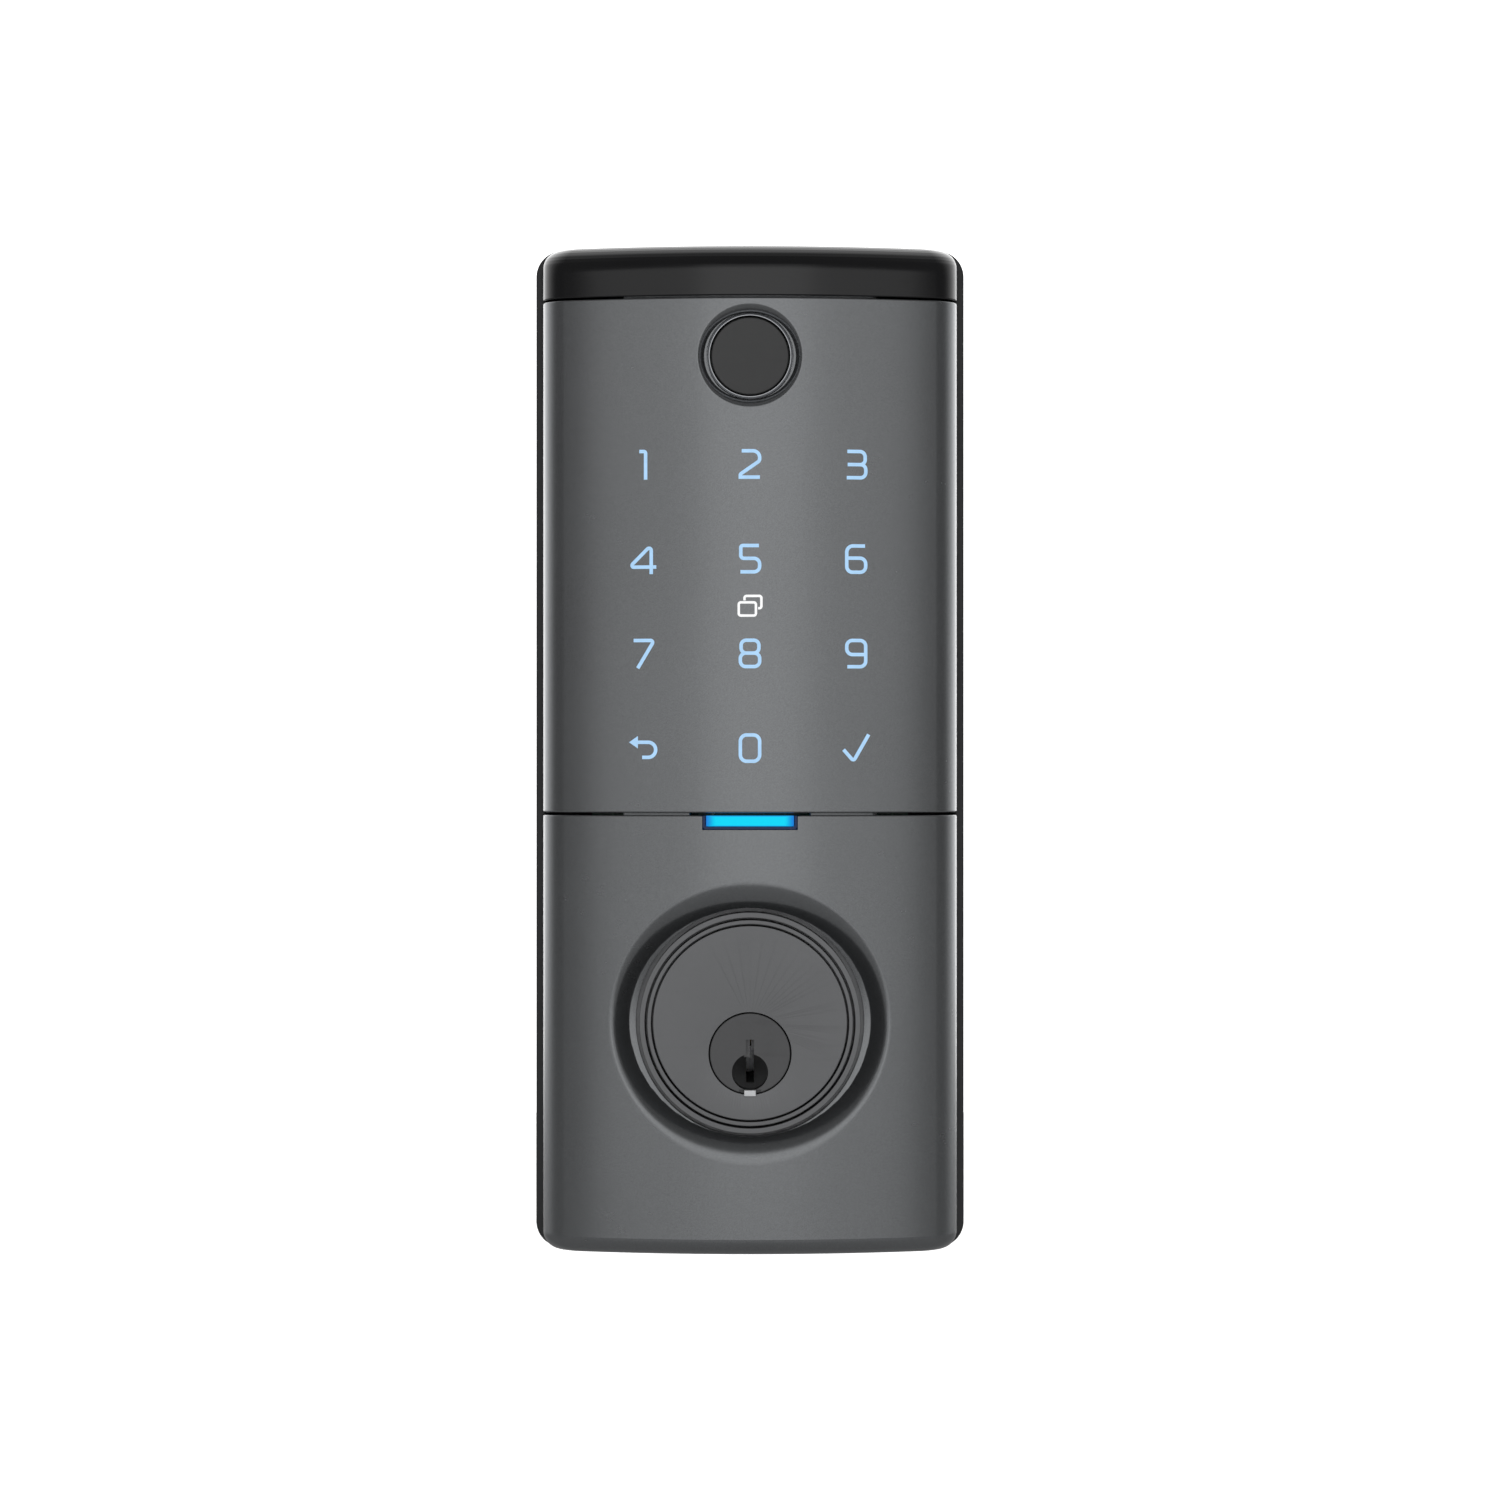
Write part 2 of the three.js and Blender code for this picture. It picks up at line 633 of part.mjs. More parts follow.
function cableSocket() {
  const low = MAIN_BOARD_LOW + 1;
  const front = MAIN_BOARD_BACK - GAP;
  const body = block(-6, 6, low, low + 6, front - 2.8, front);
  return cut(body, block(-5, 5, low - 1, low + 4.8, front - 2.1, front - 0.7));
}

function buzzer() {
  const [x, up, back] = [14, LOW_ROW + ROW_PITCH, MAIN_BOARD_FRONT + GAP];
  return cut(rod(x, up, 5.5, back, back + 3.6), rod(x, up, 1, back + 2.6, back + 4, 12));
}

piece('main_board', boardGreen, mainBoard());
piece('shield_can', steel, block(
  -14,
  6,
  GUIDE_HIGH - 22,
  GUIDE_HIGH - 3,
  MAIN_BOARD_FRONT + GAP,
  MAIN_BOARD_FRONT + GAP + 2.6,
));
piece('buzzer', chipBlack, buzzer());
piece('board_connector', whitePlastic, block(
  -19,
  -8,
  LOW_ROW - 2,
  LOW_ROW + 2,
  MAIN_BOARD_FRONT + GAP,
  TOUCH_BOARD_BACK - GAP,
));
piece('cable_socket', whitePlastic, cableSocket());

// ---- screws

/** A pan-head screw driven from behind, its head's underside at a given distance from the door. */
function screw(x, up, under, length, radius = SCREW_RADIUS, head = SCREW_HEAD) {
  return turned(
    points(
      [0, under - SCREW_HEAD_THICK],
      [head * 0.75, under - SCREW_HEAD_THICK],
      [head, under - SCREW_HEAD_THICK * 0.5],
      [head, under],
      [radius, under],
      [radius, under + length - 1],
      [0, under + length],
    ),
    x,
    up,
    12,
  );
}

caseScrews.forEach(([x, up], i) => {
  piece(`case_screw_${i + 1}`, steel, screw(x, up, SCREW_FLOOR, 9));
});
boardBosses.forEach(([x, up], i) => {
  piece(`board_screw_${i + 1}`, steel, screw(x, up, MAIN_BOARD_BACK - GAP, 7));
});

// ---- key cylinder

const pinForward = (i) => FIRST_PIN - i * PIN_PITCH;
const pinNumbers = Array.from({ length: PIN_COUNT }, (_, i) => i);
const lastPin = pinForward(PIN_COUNT - 1);
const cylinderScrews = bothSides((side) => [
  side * CYLINDER_SCREW_RING * Math.cos(CYLINDER_SCREW_ANGLE),
  COLLAR_RISE + CYLINDER_SCREW_RING * Math.sin(CYLINDER_SCREW_ANGLE),
]);
const bibleBack = lastPin - PIN_CHAMBER - 2;

/** Cuts one pin's hole down to a cone that stops the pin over the keyway. */
function pinChamber(i, low) {
  const radius = circumscribed(PIN_CHAMBER, pinSides);
  return upright(
    points(
      [0, low - PIN_CONE],
      [0.5, low - PIN_CONE],
      [radius, low],
      [radius, BIBLE_TOP + 1],
      [0, BIBLE_TOP + 1],
    ),
    pinForward(i),
  );
}

function cylinderBody() {
  const face = rod(0, COLLAR_RISE, FACE_RADIUS, FACE_BACK, FACE_FRONT, sides);
  const barrel = rod(0, 0, BARREL_RADIUS, BARREL_BACK, FACE_BACK + 1, sides);
  const bible = block(-BIBLE_HALF, BIBLE_HALF, 0, BIBLE_TOP, bibleBack, FACE_BACK + 1);
  const pillars = cylinderScrews.map(([x, up]) => rod(x, up, BOSS_RADIUS, BOSS_BACK, FACE_BACK + 1, 20));
  return cut(
    join(face, barrel, bible, ...pillars),
    bore(0, 0, PLUG_SHANK + TURN_GAP, BARREL_BACK - 1, FACE_FRONT, sides),
    bore(0, 0, PLUG_HEAD + TURN_GAP, HEAD_BACK - GAP, FACE_FRONT + 1, sides),
    ...pinNumbers.map((i) => pinChamber(i, PIN_CONE)),
    ...cylinderScrews.map(([x, up]) => pilot(x, up, BOSS_BACK, CYLINDER_SCREW_RADIUS)),
  );
}

function plug() {
  const body = join(
    rod(0, 0, PLUG_SHANK, PLUG_BACK, FACE_FRONT - 1, sides),
    rod(0, 0, PLUG_HEAD, HEAD_BACK, FACE_FRONT, sides),
  );
  const half = KEYWAY_WIDTH / 2;
  return cut(
    body,
    block(-half, half, KEYWAY_BOTTOM, KEYWAY_TOP, PLUG_BACK - 1, FACE_FRONT + 1),
    rod(0, KEY_HOLE_CENTRE, KEY_HOLE_RADIUS, FACE_FRONT - KEY_HOLE_DEPTH, FACE_FRONT + 1),
    block(-1.7, 1.7, -PLUG_HEAD - 1, -PLUG_HEAD + 0.7, FACE_FRONT - 1.2, FACE_FRONT + 1),
    ...pinNumbers.map((i) => pinChamber(i, PIN_SEAT - 0.2)),
  );
}

/** The bright index tab, whose lip passes over the rim of the turning plug. */
function keywayTab() {
  const high = -PLUG_HEAD + 0.6;
  return join(
    block(-0.92, 0.92, high - 0.5, high, FACE_FRONT - 0.9, FACE_FRONT + 0.2),
    block(-0.92, 0.92, high - 0.95, high, FACE_FRONT + 0.15, FACE_FRONT + 0.45),
  );
}

/** The collar around the cylinder's face, flanged behind the cover and clear of the barrel. */
function cylinderCollar() {
  const profile = points(
    [COLLAR_LIP, FLANGE_BACK],
    [FLANGE_RADIUS, FLANGE_BACK],
    [FLANGE_RADIUS, FLANGE_FRONT],
    [COLLAR_RADIUS, FLANGE_FRONT],
    [COLLAR_RADIUS, FACE_FRONT],
    [COLLAR_INNER, FACE_FRONT],
    [COLLAR_INNER, FACE_BACK - GAP],
    [COLLAR_LIP, FACE_BACK - GAP],
    [COLLAR_LIP, FLANGE_BACK],
  );
  return cut(
    turned(profile, 0, COLLAR_RISE),
    bore(0, 0, BARREL_RADIUS + GAP, FLANGE_BACK - 1, FACE_BACK, sides),
  );
}

piece('cylinder_body', cylinderGrey, cylinderBody());
piece('plug', plugGrey, plug());
piece('keyway_tab', tabSilver, keywayTab());
piece('cylinder_collar', cylinderGrey, cylinderCollar());
piece('collar_trim_ring', cylinderGrey, ring(
  0,
  COLLAR_RISE,
  FACE_RADIUS + GAP,
  TRIM_RADIUS,
  FACE_BACK,
  FACE_FRONT,
));
piece('spring_cover', brass, block(
  -BIBLE_HALF + 0.8,
  BIBLE_HALF - 0.8,
  BIBLE_TOP + GAP,
  SPRING_COVER_TOP,
  bibleBack,
  FACE_BACK - 2 * GAP,
));
cylinderScrews.forEach(([x, up], i) => {
  piece(`cylinder_screw_${i + 1}`, steel, screw(x, up, SCREW_FLOOR, 10, CYLINDER_SCREW_RADIUS));
});

for (const i of pinNumbers) {
  const keyPinTop = PIN_SEAT + KEY_PIN_LENGTHS[i];
  piece(`key_pin_${i + 1}`, brass, upright(
    points(
      [0, PIN_SEAT - PIN_CONE],
      [0.35, PIN_SEAT - PIN_CONE],
      [PIN_RADIUS, PIN_SEAT],
      [PIN_RADIUS, keyPinTop],
      [0, keyPinTop],
    ),
    pinForward(i),
  ));
  piece(`driver_pin_${i + 1}`, steel, upright(
    points([0, DRIVER_REST], [PIN_RADIUS, DRIVER_REST], [PIN_RADIUS, DRIVER_TOP], [0, DRIVER_TOP]),
    pinForward(i),
  ));
}

/** A spring's centre line between a driver pin and the spring cover. */
class Helix extends THREE.Curve {
  constructor(radius, low, high, turns) {
    super();
    Object.assign(this, { radius, low, high, turns });
  }

  getPoint(t) {
    const angle = round * this.turns * t;
    return new THREE.Vector3(
      this.radius * Math.cos(angle),
      this.low + (this.high - this.low) * t,
      this.radius * Math.sin(angle),
    );
  }
}

for (const i of pinNumbers) {
  const wire = new THREE.Shape(arc(0, 0, SPRING_WIRE, 0, round, 4).slice(0, -1));
  const path = new Helix(
    SPRING_RADIUS,
    DRIVER_TOP + GAP + SPRING_WIRE,
    BIBLE_TOP - SPRING_WIRE,
    SPRING_TURNS,
  );
  const coil = new THREE.ExtrudeGeometry(wire, { steps: 34, extrudePath: path });
  piece(`pin_spring_${i + 1}`, springSteel, solid(coil.translate(0, 0, pinForward(i))));
}

// ---- plug cap and tailpiece

const capFront = PLUG_BACK - GAP;
const capBack = capFront - CAP_DEPTH;
const capFloor = capBack + 1.4; // front of the cap's slotted wall
const bladeReach = Math.hypot(BLADE_WIDTH / 2, BLADE_THICK / 2);
const tailHead = bladeReach + 0.9;

/** A cup on the back of the plug, whose bow-tie slot lets the blade lag a quarter turn behind. */
function plugCap() {
  const stop = BLADE_THICK / 2 + GAP;
  const slot = cut(
    bore(0, 0, bladeReach + GAP, capBack - 1, capFloor + 1, 32),
    block(-bladeReach - 1, -stop, stop, bladeReach + 1, capBack - 2, capFloor + 2),
    block(stop, bladeReach + 1, -bladeReach - 1, -stop, capBack - 2, capFloor + 2),
  );
  return cut(
    rod(0, 0, BARREL_RADIUS - 1.4, capBack, capFront, sides),
    bore(0, 0, tailHead + GAP, capFloor, capFront + 1, sides),
    slot,
  );
}

function tailpiece() {
  const half = BLADE_WIDTH / 2;
  const headBack = capFloor + GAP;
  const blade = across(
    points([headBack + 0.5, -half], [headBack + 0.5, half], [BLADE_END + 2.5, half], [BLADE_END, half - 1.5],
      [BLADE_END, 1.5 - half], [BLADE_END + 2.5, -half]),
    -BLADE_THICK / 2,
    BLADE_THICK / 2,
  );
  return join(rod(0, 0, tailHead, headBack, headBack + 1.4, 32), blade);
}

piece('plug_cap', brass, plugCap());
piece('tailpiece', steel, tailpiece());

// ---- rear case

const stemRadius = POST_RADIUS - 1.3; // of a post's stem through the plate and the case
const grommetHalfWidth = CABLE_HALF_WIDTH + GROMMET_WALL;
const grommetHalfHeight = CABLE_HALF_HEIGHT + GROMMET_WALL;

/** A rectangular cutter or tube with round corners, centred on the cable outlet. */
function atCableOutlet(grow, back, front) {
  const x = grommetHalfWidth + grow;
  const y = grommetHalfHeight + grow;
  return slab(roundedRectangle(-x, x, CABLE_RISE - y, CABLE_RISE + y, y * 0.6), back, front);
}

const portForward = PORT_BACK + PORT_THICK / 2;
const recessRoof = CASE_BOTTOM + FLAP_THICK + GAP;
const hingeUp = CASE_BOTTOM + FLAP_BARREL;
const recessHalf = FLAP_HALF_WIDTH + GAP;

function portRecess() {
  const barrelSpace = new THREE.CylinderGeometry(FLAP_BARREL + GAP, FLAP_BARREL + GAP, 2 * recessHalf, 20);
  return join(
    block(-recessHalf, recessHalf, CASE_BOTTOM - 1, recessRoof, FLAP_HINGE_FORWARD, FLAP_REACH + GAP),
    block(
      -recessHalf,
      recessHalf,
      CASE_BOTTOM - 1,
      hingeUp,
      FLAP_HINGE_FORWARD - FLAP_BARREL - GAP,
      FLAP_HINGE_FORWARD + 1,
    ),
    solid(barrelSpace.rotateZ(Math.PI / 2).translate(0, hingeUp, FLAP_HINGE_FORWARD)),
  );
}

function rearCase() {
  const outline = roundedRectangle(-CASE_HALF, CASE_HALF, CASE_BOTTOM, CASE_TOP, CASE_CORNER, 4);
  const inner = roundedRectangle(
    -CASE_HALF + WALL,
    CASE_HALF - WALL,
    CASE_BOTTOM + WALL,
    CASE_TOP - WALL,
    Math.max(CASE_CORNER - WALL, 0.3),
  );
  const rim = PLATE_INSET - GAP;
  const recess = roundedRectangle(
    -CASE_HALF + rim,
    CASE_HALF - rim,
    CASE_BOTTOM + rim,
    CASE_TOP - rim,
    Math.max(CASE_CORNER - rim, 0.3),
  );
  const front = PARTING - GAP / 2;
  const tray = cut(
    slab(outline, CASE_BACK, front),
    slab(inner, FLOOR_FRONT, front + 1),
    slab(recess, CASE_BACK - 1, FLOOR_BACK),
    bore(0, 0, BARREL_RADIUS + GAP, FLOOR_BACK - 1, FLOOR_FRONT + 1, sides),
    block(-BIBLE_HALF - GAP, BIBLE_HALF + GAP, 0, SPRING_COVER_TOP + GAP, FLOOR_BACK - 1, FLOOR_FRONT + 1),
    atCableOutlet(GAP, FLOOR_BACK - 1, FLOOR_FRONT + 1),
    ...bothSides((side) => bore(side * POST_SPREAD, 0, stemRadius + GAP, FLOOR_BACK - 1, FLOOR_FRONT + 1)),
    ...caseScrews.map(([x, up]) => bore(x, up, SCREW_RADIUS + GAP, FLOOR_BACK - 1, FLOOR_FRONT + 1, 12)),
    ...cylinderScrews.map(([x, up]) => (
      bore(x, up, CYLINDER_SCREW_RADIUS + GAP, FLOOR_BACK - 1, FLOOR_FRONT + 1, 12)
    )),
  );
  const tower = cut(
    ring(0, COLLAR_RISE, FLANGE_RADIUS - 2, FLANGE_RADIUS, FLOOR_FRONT - 0.5, FLANGE_BACK - GAP),
    block(
      -grommetHalfWidth - 3,
      grommetHalfWidth + 3,
      COLLAR_RISE,
      COLLAR_RISE + FLANGE_RADIUS + 1,
      FLOOR_FRONT - 1,
      FLANGE_BACK,
    ),
    ...bothSides((side) => bore(side * POST_SPREAD, 0, stemRadius + GAP, FLOOR_BACK - 1, FLOOR_FRONT + 1)),
  );
  const portBlock = block(
    -recessHalf - 1.5,
    recessHalf + 1.5,
    CASE_BOTTOM + 1,
    hingeUp + FLAP_BARREL + GAP + 1.4,
    FLOOR_FRONT - 0.5,
    front,
  );
  const portHole = block(
    -PORT_HALF_WIDTH - GAP,
    PORT_HALF_WIDTH + GAP,
    CASE_BOTTOM,
    CASE_BOTTOM + 8,
    PORT_BACK - GAP,
    PORT_BACK + PORT_THICK + GAP,
  );
  return cut(join(tray, tower, portBlock), portRecess(), portHole);
}

function cableGrommet() {
  return cut(
    join(
      atCableOutlet(0, FLOOR_BACK - 0.5, FLOOR_FRONT + 0.5),
      atCableOutlet(1.2, PLATE_BACK + GAP, FLOOR_BACK - GAP),
      atCableOutlet(1.2, FLOOR_FRONT + GAP, FLOOR_FRONT + GAP + 1),
    ),
    slab(
      roundedRectangle(
        -CABLE_HALF_WIDTH,
        CABLE_HALF_WIDTH,
        CABLE_RISE - CABLE_HALF_HEIGHT,
        CABLE_RISE + CABLE_HALF_HEIGHT,
        0.8,
      ),
      0,
      FLOOR_FRONT + 3,
    ),
  );
}

piece('rear_case', mattBlack, rearCase());
piece('cable_grommet', rubber, cableGrommet());

// ---- mounting plate, gasket and posts

/** Cuts the way through for the cylinder and, above it, the cable outlet. */
function wayThrough(grow, back, front) {
  return join(
    rod(0, 0, BARREL_RADIUS + 1.4 + grow, back, front, sides),
    block(
      -grommetHalfWidth - 1.5 - grow,
      grommetHalfWidth + 1.5 + grow,
      0,
      CABLE_RISE + grommetHalfHeight + 1.5 + grow,
      back,
      front,
    ),
  );
}

function mountingPlate() {
  const outline = roundedRectangle(
    -CASE_HALF + PLATE_INSET,
    CASE_HALF - PLATE_INSET,
    CASE_BOTTOM + PLATE_INSET,
    CASE_TOP - PLATE_INSET,
    1.5,
  );
  return cut(
    slab(outline, PLATE_BACK, PLATE_FRONT),
    wayThrough(0, 0, PLATE_FRONT + 1),
    ...[...caseScrews, ...cylinderScrews].map(([x, up]) => behindHead(x, up)),
    ...bothSides((side) => bore(side * POST_SPREAD, 0, stemRadius + GAP, 0, PLATE_FRONT + 1)),
  );
}

function gasket() {
  const outline = roundedRectangle(
    -CASE_HALF + GASKET_INSET,
    CASE_HALF - GASKET_INSET,
    CASE_BOTTOM + GASKET_INSET,
    CASE_TOP - GASKET_INSET,
    CASE_CORNER - GASKET_INSET,
  );
  return cut(
    slab(outline, 0, GASKET_THICK),
    wayThrough(0.5, -1, GASKET_THICK + 1),
    ...bothSides((side) => bore(side * POST_SPREAD, 0, POST_RADIUS + GAP, -1, GASKET_THICK + 1)),
  );
}

/** A threaded post that takes a through-bolt from the indoor side. */
function post(x) {
  const back = GASKET_THICK - POST_LENGTH;
  return cut(
    join(
      rod(x, 0, POST_RADIUS, back, GASKET_THICK),
      rod(x, 0, stemRadius, GASKET_THICK - 1, FLOOR_FRONT - 0.1),
    ),
    rod(x, 0, POST_THREAD, back - 1, GASKET_THICK + 1, 16),
  );
}

piece('mounting_plate', zincPlate, mountingPlate());
piece('gasket', rubber, gasket());
piece('post_left', steel, post(-POST_SPREAD));
piece('post_right', steel, post(POST_SPREAD));

// ---- charging port

const portMouth = recessRoof + 0.35;
const portDepth = 7.3;

function usbSocket() {
  const inner = PORT_HALF_WIDTH - PORT_SHELL;
  const front = PORT_BACK + PORT_THICK;
  const shellBody = cut(
    block(-PORT_HALF_WIDTH, PORT_HALF_WIDTH, portMouth, portMouth + portDepth, PORT_BACK, front),
    block(
      -inner,
      inner,
      portMouth - 1,
      portMouth + portDepth - 1,
      PORT_BACK + PORT_SHELL,
      front - PORT_SHELL,
    ),
  );
  return join(
    shellBody,
    block(-3.3, 3.3, portMouth + 1.6, portMouth + portDepth, portForward - 0.35, portForward + 0.35),
  );
}

function usbCover() {
  const barrel = new THREE.CylinderGeometry(FLAP_BARREL, FLAP_BARREL, 2 * FLAP_HALF_WIDTH, 20);
  const flapTop = CASE_BOTTOM + FLAP_THICK;
  return join(
    solid(barrel.rotateZ(Math.PI / 2).translate(0, hingeUp, FLAP_HINGE_FORWARD)),
    block(-FLAP_HALF_WIDTH, FLAP_HALF_WIDTH, CASE_BOTTOM, flapTop, FLAP_HINGE_FORWARD, FLAP_REACH),
    block(-3.5, 3.5, flapTop - 0.5, portMouth + 0.7, portForward - 0.9, portForward + 0.5),
  );
}

piece('usb_board', boardGreen, block(
  -7,
  7,
  portMouth + 2.6,
  COLLAR_RISE - FLANGE_RADIUS - GAP,
  FLOOR_FRONT + GAP,
  PORT_BACK - GAP,
));
piece('usb_socket', steel, usbSocket());
piece('usb_cover', rubber, usbCover());

export default front;
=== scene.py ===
"""Visual model of the keypad smart lock's outdoor unit.

Shapes are drawn in millimetres to the right, up and forward of the door. The point (x, up, forward)
is stored as (x, -forward, up), and a finished piece is scaled down to metres.
"""

import math
from functools import cache

import bmesh
import bpy
from bpy.props import FloatProperty, FloatVectorProperty, IntProperty, PointerProperty
from mathutils import Matrix, Vector


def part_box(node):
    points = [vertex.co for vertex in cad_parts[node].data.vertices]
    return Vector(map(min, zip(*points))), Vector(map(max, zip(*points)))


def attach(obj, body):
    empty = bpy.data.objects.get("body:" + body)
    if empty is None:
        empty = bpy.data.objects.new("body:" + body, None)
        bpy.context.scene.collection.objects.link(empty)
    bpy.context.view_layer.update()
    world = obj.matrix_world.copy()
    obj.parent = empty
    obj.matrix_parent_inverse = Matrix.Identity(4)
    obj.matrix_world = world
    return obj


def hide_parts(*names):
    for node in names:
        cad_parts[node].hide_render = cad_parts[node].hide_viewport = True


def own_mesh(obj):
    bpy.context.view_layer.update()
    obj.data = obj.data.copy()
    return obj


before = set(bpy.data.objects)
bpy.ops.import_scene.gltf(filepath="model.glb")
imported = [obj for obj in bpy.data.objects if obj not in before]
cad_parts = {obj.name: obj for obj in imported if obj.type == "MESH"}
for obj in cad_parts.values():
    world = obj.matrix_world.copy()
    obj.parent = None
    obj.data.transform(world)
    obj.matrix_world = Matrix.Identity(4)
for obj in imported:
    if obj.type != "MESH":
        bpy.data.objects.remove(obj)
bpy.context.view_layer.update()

bl_info = {
    "name": "Keypad Smart Lock",
    "version": (1, 0, 0),
    "blender": (4, 5, 0),
    "location": "3D View > Sidebar > Lock",
    "description": "Builds the outdoor unit of a keypad smart lock around its packed frame",
    "category": "Object",
}

MM = 0.001
GAP = 0.3  # between pieces that rest on each other, in millimetres
QUARTER = math.pi / 2
ROUND = math.tau
FAR = 400.0  # further than any part of the lock, in millimetres
MERGE = 1e-4  # points closer than this are one, in millimetres
ON_AXIS = 1e-6  # a radius below this is a pole
UNDER_SKIN = 0.3  # ribs and bosses stop this far under the front's surface, in millimetres
CIRCUIT_EDGE = 0.08  # rounding of the circuit boards' edges, in millimetres


# ---------------------------------------------------------------- settings


def length(name, description, millimetres):
    """A length setting, stored in metres."""
    return FloatProperty(
        name=name,
        description=description,
        default=millimetres * MM,
        min=0.0,
        precision=5,
        unit="LENGTH",
    )


def colour(name, description, red, green, blue):
    return FloatVectorProperty(
        name=name,
        description=description,
        default=(red, green, blue, 1.0),
        size=4,
        min=0.0,
        max=1.0,
        subtype="COLOR",
    )


class LockSizes(bpy.types.PropertyGroup):
    """Sizes that the frame's boxes don't give."""

    wall: length("Wall", "Thickness of the front shell", 1.8)
    bow_radius: length("Bow Radius", "Radius of the front's curve across its width", 85.0)
    side_fillet: length("Side Fillet", "Radius where the front turns into its sides", 5.5)
    top_roll: length("Top Roll", "Radius of the cap's upper edge", 5.0)
    bottom_fillet: length("Bottom Fillet", "Radius of the cover's lower edge", 2.5)
    shell_corner: length("Shell Corner", "Corner radius of the front's outline", 3.0)
    seam: length("Seam", "Gap between keypad panel and lower cover", 0.4)
    cap_seam: length("Cap Seam", "Gap between top cap and keypad panel", 0.3)
    seam_round: length("Seam Rounding", "Rounding of the edges along the seams", 0.25)
    parting: length("Parting", "Front shell's back edge, forward of the door", 13.0)
    case_corner: length("Case Corner", "Corner radius of the rear case", 4.2)
    case_round: length("Case Rounding", "Rounding of the rear case's rim", 0.4)
    dish_depth: length("Dish Depth", "Depth of the hollow around the cylinder", 2.0)
    dish_reach: length("Dish Reach", "Width of that hollow's wall", 4.2)
    dish_gap: length("Dish Gap", "Gap between the collar and that hollow's floor", 0.65)
    finger_dish_depth: length("Finger Dish Depth", "Depth of the fingerprint reader's hollow", 1.3)
    finger_dish_reach: length("Finger Dish Reach", "Width of that hollow's wall", 1.4)
    collar_width: length("Collar Width", "Width of the collar's front face", 0.9)
    machined_round: length("Machined Rounding", "Rounding of turned edges", 0.13)
    key_pitch: length("Key Pitch", "Distance between the columns of keys", 16.75)
    guide_margin: length("Guide Margin", "Light guide beyond the outer rows of keys", 6.6)
    stroke: length("Legend Stroke", "Stroke width of the lit key symbols", 0.55)
    legend_rise: length("Legend Rise", "How far the key symbols stand out", 0.03)
    bezel_width: length("Bezel Width", "Width of the light bar's frame", 0.35)
    keyway_width: length("Keyway Width", "Width of the key slot", 1.24)
    thread_pitch: length("Thread Pitch", "Pitch of the screws' threads", 0.8)
    recess_width: length("Recess Width", "Width of the screws' cross recess", 0.62)


class LockFinishes(bpy.types.PropertyGroup):
    """Colours and shine of the surfaces."""

    paint: colour("Paint", "Grey metallic paint of panel and cover", 0.198, 0.205, 0.212)
    paint_roughness: FloatProperty(
        name="Paint Roughness", description="Lower is shinier", default=0.25, min=0.0, max=1.0,
        subtype="FACTOR",
    )
    cap: colour("Cap", "Gloss black of the top cap", 0.006, 0.006, 0.007)
    case: colour("Case", "Dark moulding of the rear case", 0.030, 0.031, 0.033)
    cylinder: colour("Cylinder", "Plating of the cylinder's face and collar", 0.172, 0.175, 0.180)
    plug: colour("Plug", "Plating of the plug", 0.122, 0.123, 0.126)
    light_bar: colour("Light Bar", "Lit middle of the light bar", 0.003, 0.740, 1.000)
    light_bar_edge: colour("Light Bar Edge", "Edge of the light bar", 0.015, 0.240, 0.760)
    legends: colour("Legends", "Lit key symbols", 0.420, 0.680, 0.970)


class LockStage(bpy.types.PropertyGroup):
    """Camera, lights and floor."""

    distance: length("Camera Distance", "Camera in front of the door", 726.5)
    height: length("Camera Height", "Camera above the plug's axis", 47.8)
    lens: FloatProperty(
        name="Focal Length", description="Focal length on a 36 mm sensor, in millimetres",
        default=106.8, min=1.0,
    )
    floor_drop: length("Floor Drop", "Floor below the plug's axis", 500.0)
    wide_light: FloatProperty(
        name="Wide Light", description="Radiance of the wide light in front", default=0.60, min=0.0
    )
    front_light: FloatProperty(
        name="Front Light", description="Radiance of the narrower light in front of the wide one",
        default=0.42, min=0.0,
    )
    surround: FloatProperty(
        name="Surround", description="Radiance of the white surround behind the lock",
        default=2.2, min=0.0,
    )
    shade: FloatProperty(
        name="Shade", description="Radiance of the darker room in front", default=0.17, min=0.0
    )
    seed: IntProperty(name="Seed", description="Turns each screw differently", default=4, min=0)


def size(name):
    """A size setting in millimetres."""
    return getattr(bpy.context.scene.lock_sizes, name) / MM


def finishes():
    return bpy.context.scene.lock_finishes


# ---------------------------------------------------------------- points and outlines


def spot(x, up, forward):
    return Vector((x, -forward, up))


@cache
def extent(*nodes):
    """Left, right, low, high, back and front limits of CAD nodes, in millimetres."""
    corners = [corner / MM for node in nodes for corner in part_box(node)]
    xs, ys, zs = zip(*corners)
    return min(xs), max(xs), min(zs), max(zs), -max(ys), -min(ys)


def middle(node):
    """Centre of a CAD node across and up, in millimetres."""
    left, right, low, high, _, _ = extent(node)
    return (left + right) / 2, (low + high) / 2


def arc(x, y, radius, start, end, steps):
    angles = [start + (end - start) * i / steps for i in range(steps + 1)]
    return [(x + radius * math.cos(angle), y + radius * math.sin(angle)) for angle in angles]


